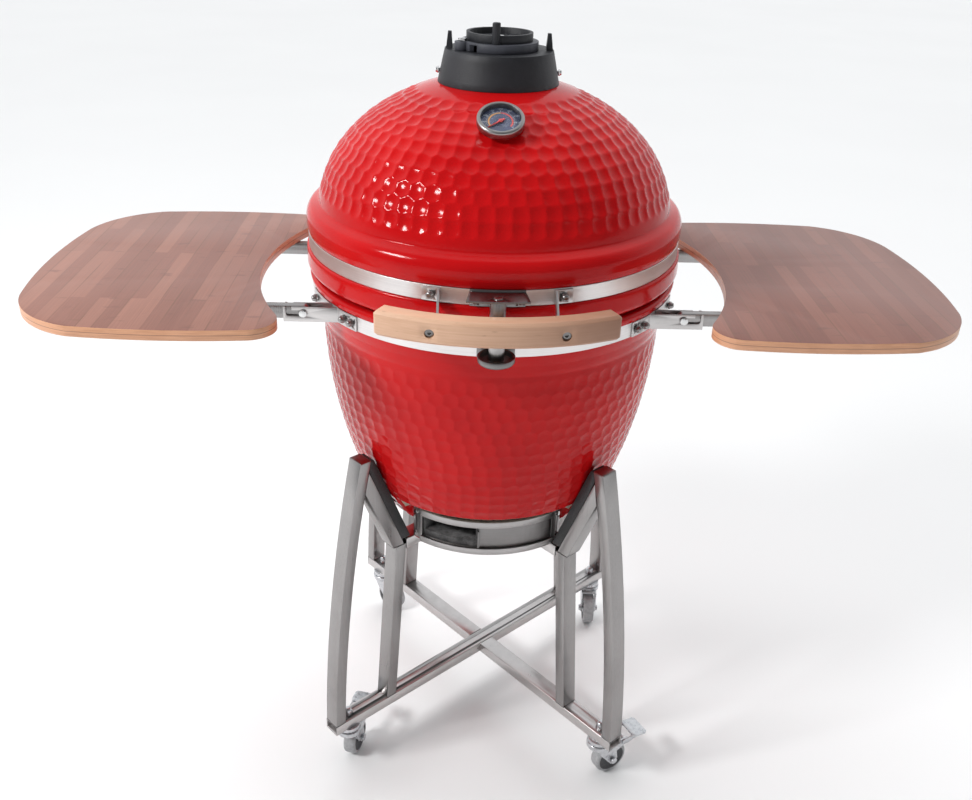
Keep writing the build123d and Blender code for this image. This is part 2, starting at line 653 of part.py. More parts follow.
def make_hinge_springs():
    """Two torsion springs that sit on the pin between the ears and help lift the lid."""
    solids = []
    inner_x = LID_EAR_X + EAR_T / 2 + 2.5
    length = BASE_EAR_X - EAR_T / 2 - 2.5 - inner_x
    for side in (-1, 1):
        turns = 5
        start = inner_x if side > 0 else -inner_x - length
        helix = Helix(pitch=length / turns, height=length, radius=SPRING_R)
        profile = Plane(origin=helix @ 0, z_dir=helix % 0) * Circle(SPRING_WIRE_R)
        coil = sweep(profile, path=helix)
        coil = Plane(origin=(start, HINGE_Y, HINGE_Z), z_dir=(1, 0, 0)) * coil
        solids.append(coil)
    return solids


# ---------------------------------------------------------------- chimney vent
CAP_LOW_Z = COLLAR_TOP_Z + CLEARANCE
CAP_TOP_Z = CAP_LOW_Z + CAP_H
WHEEL_LOW_Z = CAP_TOP_Z + CLEARANCE
WHEEL_FLOOR_T = 3.0
COLLAR_FOOT_Z = dome_z(COLLAR_FOOT_R) + CLEARANCE
COLLAR_HOLE_R = 50.0
COLLAR_SCREW_Z = COLLAR_TOP_Z - 30
LOBE_R = 11.0
PIVOT_R = 3.5
RIVET_R = 3.0
PETALS = 6


def petals(z_middle, height, r_in=12.0, r_out=36.0):
    """Petal-shaped holes round the axis."""
    cutters = []
    for k in range(PETALS):
        wide = Pos(*polar(r_out - 9, 60 * k)) * Cylinder(9.0, height)
        narrow = Pos(*polar(r_in + 4, 60 * k)) * Cylinder(4.0, height)
        middle = turned(Pos((r_in + r_out) / 2 - 2.0, 0, 0) * Box(r_out - r_in - 14, 10.0, height), 60 * k)
        cutters.append(Pos(0, 0, z_middle) * (wide + narrow + middle))
    return cutters


def make_vent_collar():
    skirt_in_r = NECK_R + CLEARANCE * 2
    middle_r = (skirt_in_r + COLLAR_FOOT_R) / 2
    under_top_z = COLLAR_TOP_Z - 8
    body = revolve_points([
        (COLLAR_FOOT_R, COLLAR_FOOT_Z), (COLLAR_TOP_R, COLLAR_TOP_Z), (COLLAR_HOLE_R, COLLAR_TOP_Z),
        (COLLAR_HOLE_R, under_top_z), (skirt_in_r, under_top_z), (skirt_in_r, dome_z(skirt_in_r) + CLEARANCE),
        (middle_r, dome_z(middle_r) + CLEARANCE),
    ])
    for side in (-1, 1):
        foot = Pos(side * 70.5, 0, COLLAR_TOP_Z - 1) * Rectangle(9.5, 18)
        tip = Pos(side * 70.0, 0, COLLAR_TOP_Z + 22) * Rectangle(5.0, 8)
        body += loft([foot, tip])
        body -= rod((side * 70, 0, COLLAR_SCREW_Z), (side * 95, 0, COLLAR_SCREW_Z), BOLT_HOLE_R)
    body -= Pos(CAP_PIVOT_X, CAP_PIVOT_Y, COLLAR_TOP_Z) * Cylinder(PIVOT_R + 0.02, 30)
    return body


def make_collar_screws():
    solids = []
    z = COLLAR_SCREW_Z
    share = (z - COLLAR_FOOT_Z) / (COLLAR_TOP_Z - COLLAR_FOOT_Z)
    wall_r = COLLAR_FOOT_R - (COLLAR_FOOT_R - COLLAR_TOP_R) * share
    for side in (-1, 1):
        shank = rod((side * (NECK_R + 1), 0, z), (side * (wall_r + 1.5), 0, z), BOLT_R)
        head = dome_nut((side * (wall_r + 1.3), 0, z), (side, 0, 0), 4.6, 5.0)
        solids.append(shank + head)
    return solids


def make_vent_cap():
    middle = (CAP_LOW_Z + CAP_TOP_Z) / 2
    disc = Pos(0, 0, middle) * Cylinder(CAP_R, CAP_H)
    under = Pos(0, 0, CAP_LOW_Z + (CAP_H - 4) / 2) * Cylinder(CAP_R - 5, CAP_H - 4)
    lobe = Pos(CAP_PIVOT_X, CAP_PIVOT_Y, middle) * Cylinder(LOBE_R, CAP_H)
    cap = disc - under + lobe
    for cutter in petals(CAP_TOP_Z - 2, 8):
        cap -= cutter
    notch = Pos(-38, -44, middle - 1.5) * Box(12, 18, CAP_H - 3)
    cap -= notch
    cap -= Pos(CAP_PIVOT_X, CAP_PIVOT_Y, middle) * Cylinder(PIVOT_R + RUNNING, 30)
    return cap - Pos(0, 0, CAP_TOP_Z) * Cylinder(RIVET_R + 0.02, 20)


def make_pivot_bolt():
    bolt = Pos(CAP_PIVOT_X, CAP_PIVOT_Y, 0) * rod((0, 0, COLLAR_TOP_Z - 7), (0, 0, CAP_TOP_Z + 0.5), PIVOT_R)
    head = Pos(CAP_PIVOT_X, CAP_PIVOT_Y, CAP_TOP_Z + 0.3) * extrude(RegularPolygon(6.0, 6), 3.5)
    return bolt + head


def make_daisy_wheel():
    """Ring with a petal floor and an upright post to turn it by."""
    wheel = ring(WHEEL_RING_R - 4.5, WHEEL_RING_R, WHEEL_LOW_Z, WHEEL_LOW_Z + WHEEL_RING_H)
    wheel += Pos(0, 0, WHEEL_LOW_Z + WHEEL_FLOOR_T / 2) * Cylinder(WHEEL_RING_R, WHEEL_FLOOR_T)
    for cutter in petals(WHEEL_LOW_Z + 1.5, 10):
        wheel -= turned(cutter, 18)
    post = rod((-6, -48, WHEEL_LOW_Z), (-6, -48, WHEEL_LOW_Z + KNOB_H), 5.6)
    wheel += fillet(post.edges().group_by(Axis.Z)[-1], 1.8)
    return wheel - Pos(0, 0, WHEEL_LOW_Z) * Cylinder(RIVET_R + RUNNING, 20)


def make_daisy_rivet():
    rivet = rod((0, 0, CAP_TOP_Z - 6), (0, 0, WHEEL_LOW_Z + WHEEL_FLOOR_T + 1), RIVET_R)
    head = rod((0, 0, WHEEL_LOW_Z + WHEEL_FLOOR_T + 0.3), (0, 0, WHEEL_LOW_Z + WHEEL_FLOOR_T + 3), 6.5)
    foot = rod((0, 0, CAP_TOP_Z - 6), (0, 0, CAP_TOP_Z - 4.1), 6.0)
    return rivet + fillet(head.edges().group_by(Axis.Z)[-1], 1.5) + foot


# ---------------------------------------------------------------- thermometer
PROBE_R = 4.0
NEEDLE_REST_DEG = 128.0    # turn of the needle from straight up, at the dial's low end


def thermo_plane():
    """Plane on the dome's outside at the probe hole: Z is the outward normal, Y points up the dome."""
    z = dome_z(THERMO_R)
    normal = Vector(0, -THERMO_R / DOME_A ** 2, (z - DOME_BASE_Z) / DOME_B ** 2)
    return Plane(origin=(0, -THERMO_R, z), x_dir=(1, 0, 0), z_dir=normal)


def disc_on_dial(radius, low, high):
    return Pos(0, 0, low) * Cylinder(radius, high - low, align=(Align.CENTER, Align.CENTER, Align.MIN))


def make_thermometer():
    plane = thermo_plane()
    case = disc_on_dial(DIAL_R, 4.0, 15.0)
    case = fillet(case.edges().group_by(Axis.Z)[-1], 3.0)
    case -= disc_on_dial(DIAL_R - 5.0, 6.0, 16.0)
    case -= disc_on_dial(PROBE_R - 0.2, 3.0, 7.0)
    dial = disc_on_dial(DIAL_R - 5.2, 6.2, 7.2) - disc_on_dial(1.6, 6.0, 8.0)
    glass = disc_on_dial(DIAL_R - 5.2, 11.5, 13.5)
    pin = disc_on_dial(1.5, 7.6, 9.8)
    blade_outline = make_face(Polyline((-1.6, -6), (1.6, -6), (0.5, 21), (-0.5, 21), close=True))
    blade = Pos(0, 0, 8.2) * extrude(blade_outline, 0.9)
    needle = pin + blade + disc_on_dial(3.0, 8.2, 9.4)
    needle = needle.rotate(Axis.Z, NEEDLE_REST_DEG)
    probe = disc_on_dial(PROBE_R, -95.0, 3.8)
    nut = Pos(0, 0, -WALL - 9.0) * extrude(RegularPolygon(10.0, 6), 6.0)
    nut -= disc_on_dial(PROBE_R - 0.5, -60, 0)
    return [plane * shape for shape in (case, dial, glass, needle, probe + nut)]


# ---------------------------------------------------------------- draft door
def make_draft_frame():
    """Two grooved rails joined by end plates, screwed to the ceramic round the air inlet."""
    low, high = DRAFT_BOTTOM_Z + 1, DRAFT_TOP_Z - 1
    back, front = DRAFT_R + 0.2, DRAFT_R + 8.0
    half = DRAFT_HALF_DEG - 1.5
    frame = sector(back, front, low, low + RAIL_H, 270 - half, 270 + half)
    frame += sector(back, front, high - RAIL_H, high, 270 - half, 270 + half)
    frame -= sector(back + 1.6, back + 1.6 + DOOR_T + 0.8, low + 4, high - 4, 270 - half - 1, 270 + half + 1)
    for side in (-1, 1):
        tab = sorted((270 + side * (half - 0.3), 270 + side * (DRAFT_HALF_DEG + 5.0)))
        wall = sorted((270 + side * (half - 0.3), 270 + side * DRAFT_HALF_DEG))
        frame += sector(back, back + 1.5, low, high, *tab)
        frame += sector(back, back + 4.6, low, high, *wall)
    for degrees, z in draft_screw_places():
        frame -= radial_rod(DRAFT_R - 5, DRAFT_R + 9, degrees, z, 2.2)
    return frame


def draft_screw_places():
    return [(270 + side * (DRAFT_HALF_DEG + 2.9), z)
            for side in (-1, 1) for z in (DRAFT_BOTTOM_Z + 12, DRAFT_TOP_Z - 12)]


def make_draft_door():
    low, high = DRAFT_BOTTOM_Z + 1 + 4.4, DRAFT_TOP_Z - 1 - 4.4
    r0 = DRAFT_R + 0.2 + 1.6 + 0.4
    to_deg = 270 + DRAFT_HALF_DEG - 2.2
    from_deg = to_deg - DOOR_SPAN_DEG
    door = sector(r0, r0 + DOOR_T, low, high, from_deg, to_deg)
    lip = sector(r0, r0 + 9.0, low + RAIL_H, high - RAIL_H, from_deg, from_deg + 0.7)
    return door + lip


def make_draft_screws():
    solids = []
    for degrees, z in draft_screw_places():
        head_r = DRAFT_R + 1.9
        shank = radial_rod(DRAFT_R + 0.1, head_r + 1, degrees, z, 2.0)
        head = radial_rod(head_r, head_r + 2.6, degrees, z, 4.0)
        solids.append(shank + head)
    return solids


# ---------------------------------------------------------------- stand
def leg_face(offset):
    """Outline of a bowed leg, in its own plane, moved in by offset on all sides but its foot."""
    def curve(radius_shift):
        foot = Vector(FOOT_R - radius_shift, 0, BAR_TOP_Z)
        top = Vector(LEG_TOP_R - radius_shift, 0, LEG_TOP_Z)
        middle = Vector((FOOT_R + LEG_TOP_R) / 2 - radius_shift + LEG_BOW, 0, (BAR_TOP_Z + LEG_TOP_Z) / 2)
        return ThreePointArc(foot, middle, top), foot, top
    outer, outer_foot, outer_top = curve(offset)
    inner, inner_foot, inner_top = curve(TUBE_D - offset)
    return make_face([outer, Line(outer_top, inner_top), inner, Line(inner_foot, outer_foot)])


def make_leg():
    leg = extrude(leg_face(0.0), TUBE_W / 2, both=True)
    bore = extrude(leg_face(TUBE_WALL), TUBE_W / 2 - TUBE_WALL, both=True)
    room = Pos(300, 0, 0) * Box(400, 100, 2 * (LEG_TOP_Z - 2.0))
    return leg - (bore & room)


def leg_inner_r(z):
    """Radius of the leg's inner face at height z."""
    half = (LEG_TOP_Z - BAR_TOP_Z) / 2
    share = (z - BAR_TOP_Z) / (2 * half)
    straight = FOOT_R + (LEG_TOP_R - FOOT_R) * share
    return straight + LEG_BOW * (1 - ((z - BAR_TOP_Z - half) / half) ** 2) - TUBE_D


def pad_line(z, out=0.0):
    """Radius of the leaning pad line at height z, moved out at right angles by out."""
    return PAD_LINE_R + PAD_SLOPE * (z - PAD_LINE_Z) + out * math.hypot(1, PAD_SLOPE)


def leaning_tube(foot_r, foot_z, top_r, top_z):
    """Rectangular tube between two heights, cut level at both ends and open at the foot."""
    def outline(inset):
        half = TUBE_D / 2 - inset
        foot = [(foot_r - half, foot_z), (foot_r + half, foot_z)]
        top = [(top_r + half, top_z), (top_r - half, top_z)]
        return make_face(Plane.XZ * Polyline(*foot, *top, close=True))
    solid = extrude(outline(0.0), TUBE_W / 2, both=True)
    bore = extrude(outline(TUBE_WALL), TUBE_W / 2 - TUBE_WALL, both=True)
    room = Pos((foot_r + top_r) / 2, 0, foot_z) * Box(300, 100, 2 * (top_z - foot_z - 2.0))
    return solid - (bore & room)


def make_post():
    return leaning_tube(POST_FOOT_R, BAR_TOP_Z + 0.1, POST_TOP_R, POST_TOP_Z)


def make_strut():
    """Leaning tube from the post's top to the inside of the leg."""
    foot_z = POST_TOP_Z + 0.1
    top_z = LEG_TOP_Z - 12
    wide = plate([
        (pad_line(foot_z, PAD_T), foot_z), (pad_line(foot_z, PAD_T + TUBE_D), foot_z),
        (pad_line(top_z, PAD_T + TUBE_D), top_z), (pad_line(top_z, PAD_T), top_z),
    ], TUBE_W)
    bore = plate([
        (pad_line(foot_z, PAD_T + TUBE_WALL), foot_z), (pad_line(foot_z, PAD_T + TUBE_D - TUBE_WALL), foot_z),
        (pad_line(top_z, PAD_T + TUBE_D - TUBE_WALL), top_z), (pad_line(top_z, PAD_T + TUBE_WALL), top_z),
    ], TUBE_W - 2 * TUBE_WALL)
    heights = [foot_z - 20, foot_z + 60, foot_z + 120, top_z + 5]
    inner = [(leg_inner_r(z) - 0.1, z) for z in heights]
    room = plate([(100, heights[0]), inner[0], inner[1], inner[2], inner[3], (100, heights[3])], 80)
    tube = wide & room
    return tube - bore


PAD_CLEARANCE = 0.4


def make_pad():
    """Heat-proof cushion strip between the strut and the ceramic."""
    foot_z = BOWL_FLOOR_Z + 2
    top_z = LEG_TOP_Z - 2
    bends = (top_z, 590.0, 560.0, foot_z)
    back = [(min(pad_line(z, PAD_T) - 0.1, leg_inner_r(z) - 0.2), z) for z in bends]
    outline = [(pad_line(foot_z), foot_z), (pad_line(top_z), top_z)] + back
    pad = plate(outline, TUBE_W - 2)
    skin = [(egg_radius(z) + PAD_CLEARANCE, z) for z in pad_heights()]
    return pad - revolve_points([(0, foot_z - 5)] + skin + [(0, top_z + 5)])


def egg_radius(z):
    return side_arc_radius(z) if z >= BOWL_TURN_Z else bottom_arc_radius(z)


def pad_heights():
    low, high = BOWL_FLOOR_Z, LEG_TOP_Z + 3
    steps = 24
    return [low + (high - low) * k / steps for k in range(steps + 1)]


def bar(from_r, to_r, degrees, top_z):
    length = to_r - from_r
    solid = Box(length, TUBE_W, TUBE_D) - Box(length + 1, TUBE_W - 2 * TUBE_WALL, TUBE_D - 2 * TUBE_WALL)
    return turned(Pos((from_r + to_r) / 2, 0, top_z - TUBE_D / 2) * solid, degrees)


def make_cross(reach, top_z, stem_holes):
    """One bar right across and two half bars butted against it."""
    long_bar = bar(-reach, reach, CORNERS[0], top_z)
    halves = [bar(TUBE_W / 2 + 0.1, reach, CORNERS[k], top_z) for k in (1, 2)]
    bars = [long_bar] + halves
    if stem_holes:
        for degrees in CORNERS:
            hole = Pos(*polar(CASTER_R, degrees)) * Pos(0, 0, top_z - 10) * Cylinder(STEM_R + 0.3, 60)
            bars = [shape - hole for shape in bars]
    return bars


# ---------------------------------------------------------------- casters
STEM_R = 5.0
BAR_LOW_Z = BAR_TOP_Z - TUBE_D
FORK_W = WHEEL_W + 9.0
RACE_R = 20.0
AXLE_R = 3.5
FORK_SHEET = 2.5
PEDAL_PIVOT_X = CASTER_TRAIL + 22.0
PEDAL_PIVOT_Z = SWIVEL_Z - 10.0
PEDAL_PIN_R = 3.0


def make_caster_mounts():
    """Fixed part of each caster: top race, stem through the bar and a domed nut on top."""
    solids = []
    for degrees in CORNERS:
        x, y, _ = polar(CASTER_R, degrees)
        race = rod((x, y, SWIVEL_Z + 0.3), (x, y, BAR_LOW_Z - 0.2), RACE_R)
        race = fillet(race.edges().group_by(Axis.Z)[0], 2.0)
        stem = rod((x, y, SWIVEL_Z - 6), (x, y, BAR_TOP_Z + 2), STEM_R)
        nut = dome_nut((x, y, BAR_TOP_Z + 0.2), (0, 0, 1), 8.6, 14.0)
        solids.append(race + stem + nut)
    return solids


def caster_place(corner):
    bearing, heading, _ = CASTERS[corner]
    return Pos(*polar(CASTER_R, bearing + STAND_TURN)) * Rot(0, 0, heading)


def make_fork(corner):
    """Swivel fork, built with its trail along +X, and its axle bolt."""
    half = FORK_W / 2
    fork = rod((0, 0, SWIVEL_Z - 9), (0, 0, SWIVEL_Z), RACE_R + 1.5)
    fork = fillet(fork.edges().group_by(Axis.Z)[-1], 2.0)
    fork += Pos(7, 0, SWIVEL_Z - 7.5) * Box(40, FORK_W, 3)
    outline = [(-13, SWIVEL_Z - 6), (27, SWIVEL_Z - 6), (CASTER_TRAIL + 9, WHEEL_R + 2),
               (CASTER_TRAIL + 4, WHEEL_R - 8), (CASTER_TRAIL - 4, WHEEL_R - 8), (-4, SWIVEL_Z - 24)]
    ear_x = PEDAL_PIVOT_X + 6
    ear = [(20, SWIVEL_Z - 6), (ear_x, SWIVEL_Z - 5), (ear_x, PEDAL_PIVOT_Z - 6), (30, 50)]
    for side in (-1, 1):
        cheek = plate(outline, FORK_SHEET)
        if CASTERS[corner][2]:
            cheek += plate(ear, FORK_SHEET)
        fork += Pos(0, side * (half - FORK_SHEET / 2), 0) * cheek
    fork -= Pos(0, 0, SWIVEL_Z - 6) * Cylinder(STEM_R + RUNNING, 30)
    fork -= Pos(CASTER_TRAIL, 0, WHEEL_R) * Cylinder(WHEEL_R + 3.5, WHEEL_W + 3.6, rotation=(90, 0, 0))
    fork -= rod((CASTER_TRAIL, -half - 9, WHEEL_R), (CASTER_TRAIL, half + 9, WHEEL_R), AXLE_R + 0.02)
    if CASTERS[corner][2]:
        pin_hole = Cylinder(PEDAL_PIN_R + RUNNING, 2 * half + 9, rotation=(90, 0, 0))
        fork -= Pos(PEDAL_PIVOT_X, 0, PEDAL_PIVOT_Z) * pin_hole
    near, far = half + 0.2, half + 3.8
    axle = rod((CASTER_TRAIL, -far, WHEEL_R), (CASTER_TRAIL, far, WHEEL_R), AXLE_R)
    for side in (-1, 1):
        axle += rod((CASTER_TRAIL, side * near, WHEEL_R), (CASTER_TRAIL, side * far, WHEEL_R), 6.0)
    place = caster_place(corner)
    return [place * fork, place * axle]


def make_wheel(corner):
    tread = Cylinder(WHEEL_R, WHEEL_W, rotation=(90, 0, 0))
    tread = fillet(tread.edges().filter_by(GeomType.CIRCLE), 3.5)
    for side in (-1, 1):
        tread -= Pos(0, side * WHEEL_W / 2, 0) * Cylinder(WHEEL_R - 7, 4, rotation=(90, 0, 0))
        tread += Pos(0, side * (WHEEL_W / 2 - 1.0), 0) * Cylinder(8.5, 3.4, rotation=(90, 0, 0))
    tread -= Cylinder(AXLE_R + RUNNING, WHEEL_W + 9, rotation=(90, 0, 0))
    return caster_place(corner) * Pos(CASTER_TRAIL, 0, WHEEL_R) * tread


def make_pedal(corner):
    """Brake pedal: a tread plate on two arms that turn on a pin across the fork."""
    inner = FORK_W / 2 + 0.4
    outer = inner + 2.0
    arm = [(-6, -5), (6, -6), (20, -1), (26, 5), (6, 6), (-6, 4)]
    pedal = rod((0, -outer, 0), (0, outer, 0), PEDAL_PIN_R)
    for side in (-1, 1):
        pedal += Pos(0, side * (inner + outer) / 2, 0) * plate(arm, outer - inner)
    tread = Pos(30, 0, 6.3) * Box(30, 2 * outer + 5, 2.5)
    pedal += Rot(0, 6, 0) * fillet(tread.edges().filter_by(Axis.Z), 6.0)
    return caster_place(corner) * Pos(PEDAL_PIVOT_X, 0, PEDAL_PIVOT_Z) * pedal


# ---------------------------------------------------------------- shelves
def shelf_outline():
    """Outline of the right-hand board: round outer end, bowed long edges, hollow towards the egg."""
    def at(x, y):
        return (x, BOARD_MID_Y + y)

    half = SHELF_HALF_Y
    end_x, end_y = SHELF_OUT_X - 12, half - 112
    bend_x, bend_y = SHELF_OUT_X - 110, half - 8
    horn_x, horn_y = SHELF_IN_X - 18, half - 14
    edges = [ThreePointArc(at(end_x, -end_y), at(SHELF_OUT_X, 0), at(end_x, end_y))]
    for side in (1, -1):
        end, bend = at(end_x, side * end_y), at(bend_x, side * bend_y)
        edges += [
            ThreePointArc(end, at(end_x - 28, side * (half - 54)), bend),
            ThreePointArc(bend, at(bend_x - 115, side * half), at(horn_x, side * horn_y)),
        ]
    hollow = at(SHELF_IN_X + SHELF_CUT_DEPTH, 0)
    edges.append(ThreePointArc(at(horn_x, horn_y), hollow, at(horn_x, -horn_y)))
    outline = make_face(edges)
    horns = outline.vertices().sort_by(Axis.X)[:2]
    return fillet(horns, HORN_ROUND)


def make_board():
    return Pos(0, 0, SHELF_TOP_Z - SHELF_T) * extrude(shelf_outline(), SHELF_T)


BOARD_LOW_Z = SHELF_TOP_Z - SHELF_T
PIN_Z = BOARD_LOW_Z - ARM_H / 2


def make_arms():
    solids = []
    for y in (FRONT_ARM_Y, REAR_ARM_Y):
        end_x = SHELF_OUT_X - 90
        length = end_x - PIN_X
        arm = Pos(PIN_X + length / 2, y, PIN_Z) * Box(length, ARM_W, ARM_H - 0.2)
        arm += Pos(PIN_X, y, PIN_Z) * Cylinder(ARM_H / 2 - 0.1, ARM_W, rotation=(90, 0, 0))
        arm -= Pos(PIN_X, y, PIN_Z) * Cylinder(PIN_R + RUNNING, 40, rotation=(90, 0, 0))
        solids.append(arm)
    return solids


def make_pins():
    solids = []
    half = CHANNEL_W / 2 + SHEET
    for y in (FRONT_ARM_Y, REAR_ARM_Y):
        pin = rod((PIN_X, y - half - 1, PIN_Z), (PIN_X, y + half + 1, PIN_Z), PIN_R)
        for side in (-1, 1):
            pin += rod((PIN_X, y + side * (half + 0.4), PIN_Z), (PIN_X, y + side * (half + 2.6), PIN_Z), 5.5)
        solids.append(pin)
    return solids


FOOT_AHEAD_DEG = 11.0      # how far the foot of a shelf bracket runs round the band, each way
FOOT_BEHIND_DEG = 16.0


def make_bracket(y):
    """Sheet channel for one shelf arm with a foot curved round the base band, on the right-hand side."""
    low, high = BASE_BAND_Z - BAND_H / 2, BASE_BAND_Z + BAND_H / 2
    half = CHANNEL_W / 2 + SHEET
    inner_x = math.sqrt((BASE_BAND_R + 1.0) ** 2 - (abs(y) + half) ** 2)
    floor_end = PIN_X - ARM_H / 2 - 1.5
    body = Pos((inner_x + floor_end) / 2, y, low + SHEET / 2) * Box(floor_end - inner_x, 2 * half, SHEET)
    for side in (-1, 1):
        body += Pos((inner_x + CHANNEL_END_X) / 2, y + side * (half - SHEET / 2), BASE_BAND_Z) * Box(
            CHANNEL_END_X - inner_x, SHEET, BAND_H)
    bearing, ahead = bracket_bearing(y)
    ends = sorted((bearing + ahead * FOOT_AHEAD_DEG, bearing - ahead * FOOT_BEHIND_DEG))
    foot = sector(BASE_BAND_R + CLEARANCE, BASE_BAND_R + CLEARANCE + SHEET, low, high, *ends)
    body += foot - Pos(PIN_X, y, BASE_BAND_Z + SHEET) * Box(120, CHANNEL_W, BAND_H)
    turning_room = 2 * (PIN_X - floor_end)
    body -= Pos(PIN_X, y, BASE_BAND_Z) * Box(turning_room, CHANNEL_W, BAND_H + 1)
    slot_end = PIN_X + SLOT_TRAVEL
    clear_r = PIN_R + CLEARANCE
    body -= Pos((PIN_X + slot_end) / 2, y, PIN_Z) * Box(SLOT_TRAVEL, 2 * half + 4, 2 * clear_r)
    for x in (PIN_X, slot_end):
        body -= Pos(x, y, PIN_Z) * Cylinder(clear_r, 2 * half + 4, rotation=(90, 0, 0))
    body -= Pos(slot_end, y, PIN_Z + 10) * Box(2 * clear_r, 2 * half + 4, 20)
    body -= Pos(0, 0, BASE_BAND_Z) * Cylinder(BASE_BAND_R + CLEARANCE, 60)
    for offset in BRACKET_BOLT_OFFSETS:
        at = bearing + ahead * offset
        body -= radial_rod(BASE_BAND_R - 5, BASE_BAND_R + 6, at, BASE_BAND_Z, BOLT_HOLE_R)
    return body


def make_base_fasteners():
    solids = []
    for bearing in shelf_bolt_bearings():
        solids.append(surface_bolt(BASE_BAND_R, bearing, BASE_BAND_Z, 3.0, 5.6, 8.0))
    for side in (-1, 1):
        solids.append(surface_bolt(BASE_BAND_R, 90 + side * HINGE_BASE_BOLT_DEG, BASE_BAND_Z, 3.3))
    return solids


def left(shapes):
    return [mirror(shape, Plane.YZ) for shape in shapes]


# ---------------------------------------------------------------- write every node
def main():
    os.makedirs("parts", exist_ok=True)
    write("lid_dome", make_lid_dome())
    write("base_bowl", make_base_bowl())
    lid_gasket, base_gasket = make_gaskets()
    write("lid_gasket", lid_gasket)
    write("base_gasket", base_gasket)
    write("fire_bowl", make_fire_bowl())
    write("fire_ring", make_fire_ring())
    write("charcoal_grate", make_charcoal_grate())
    write("cooking_grate", make_cooking_grate())
    write("lid_band", band(LID_BAND_R, LID_BAND_Z, lid_band_bolts()))
    write("base_band", band(BASE_BAND_R, BASE_BAND_Z, base_band_bolts()))
    write("handle_bar", make_handle_bar())
    write("handle_brackets", *make_handle_brackets())
    write("lid_fasteners", *make_lid_fasteners())
    write("latch_bracket", make_latch_bracket())
    write("latch_barrel", make_latch_barrel())
    write("latch_cup", make_latch_cup())
    write("hinge_base_bracket", make_hinge_base())
    write("hinge_lid_bracket", make_hinge_lid())
    write("hinge_pin", make_hinge_pin())
    write("hinge_springs", *make_hinge_springs())
    write("vent_collar", make_vent_collar())
    write("collar_screws", *make_collar_screws())
    write("vent_cap", make_vent_cap())
    write("vent_pivot_bolt", make_pivot_bolt())
    write("daisy_wheel", make_daisy_wheel())
    write("daisy_rivet", make_daisy_rivet())
    for name, shape in zip(("case", "dial", "glass", "needle", "probe"), make_thermometer()):
        write(f"thermometer_{name}", shape)
    write("draft_frame", make_draft_frame())
    write("draft_door", make_draft_door())
    write("draft_screws", *make_draft_screws())
    write("stand_legs", *[turned(make_leg(), degrees) for degrees in CORNERS])
    write("stand_posts", *[turned(make_post(), degrees) for degrees in CORNERS])
    write("stand_struts", *[turned(make_strut(), degrees) for degrees in CORNERS])
    write("stand_pads", *[turned(make_pad(), degrees) for degrees in CORNERS])
    write("stand_base_cross", *make_cross(FOOT_R, BAR_TOP_Z, True))
    write("stand_top_cross", *make_cross(POST_TOP_R - TUBE_D / 2 - 0.6, BOWL_FLOOR_Z - 0.1, False))
    write("caster_mounts", *make_caster_mounts())
    for corner, (_, _, braked) in CASTERS.items():
        write(f"caster_fork_{corner}", *make_fork(corner))
        write(f"caster_wheel_{corner}", make_wheel(corner))
        if braked:
            write(f"caster_brake_{corner}", make_pedal(corner))
    brackets = [make_bracket(y) for y in (FRONT_ARM_Y, REAR_ARM_Y)]
    write("shelf_brackets", *brackets, *left(brackets))
    write("base_fasteners", *make_base_fasteners())
    board, arms, pins = make_board(), make_arms(), make_pins()
    write("right_shelf_board", board)
    write("right_shelf_arms", *arms)
    write("right_shelf_pins", *pins)
    write("left_shelf_board", *left([board]))
    write("left_shelf_arms", *left(arms))
    write("left_shelf_pins", *left(pins))


main()
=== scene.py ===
import json
import math

import bpy
import bmesh
import numpy as np
from mathutils import Matrix, Vector, kdtree


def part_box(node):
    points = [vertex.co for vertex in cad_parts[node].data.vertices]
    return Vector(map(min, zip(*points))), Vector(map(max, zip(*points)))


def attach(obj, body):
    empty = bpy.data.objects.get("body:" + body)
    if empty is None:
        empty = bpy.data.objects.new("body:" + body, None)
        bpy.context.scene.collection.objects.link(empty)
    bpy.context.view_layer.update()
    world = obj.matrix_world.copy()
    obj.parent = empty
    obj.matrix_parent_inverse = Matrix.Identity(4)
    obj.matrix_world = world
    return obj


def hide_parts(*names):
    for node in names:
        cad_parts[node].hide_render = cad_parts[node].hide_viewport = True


# Looks for a kamado grill: an egg of red glazed ceramic in a steel cart with two bamboo shelves.
# Everything is in metres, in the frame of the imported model.

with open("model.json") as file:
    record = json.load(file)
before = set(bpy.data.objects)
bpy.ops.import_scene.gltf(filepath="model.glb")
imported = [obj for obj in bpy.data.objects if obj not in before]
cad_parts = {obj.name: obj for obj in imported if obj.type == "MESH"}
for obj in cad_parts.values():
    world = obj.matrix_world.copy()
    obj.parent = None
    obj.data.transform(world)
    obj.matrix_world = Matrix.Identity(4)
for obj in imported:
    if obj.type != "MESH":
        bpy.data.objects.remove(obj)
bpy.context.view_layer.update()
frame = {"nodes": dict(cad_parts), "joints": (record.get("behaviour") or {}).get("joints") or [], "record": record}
NODES = frame["nodes"]

MM = 0.001
DIMPLE_PITCH = 22 * MM
DIMPLE_ROW = 20.5 * MM            # height of one row of dimples, along the surface
DOME_DIMPLE = 2.5 * MM            # depth of the dimples
BOWL_DIMPLE = 1.6 * MM
DOME_STEP = 2.1 * MM              # mesh spacing on the dimpled ceramic
LINER_STEP = 9 * MM               # mesh spacing on the plain inside
AROUND = 800                      # points round a full turn of the ceramic

TURN = 2 * math.pi


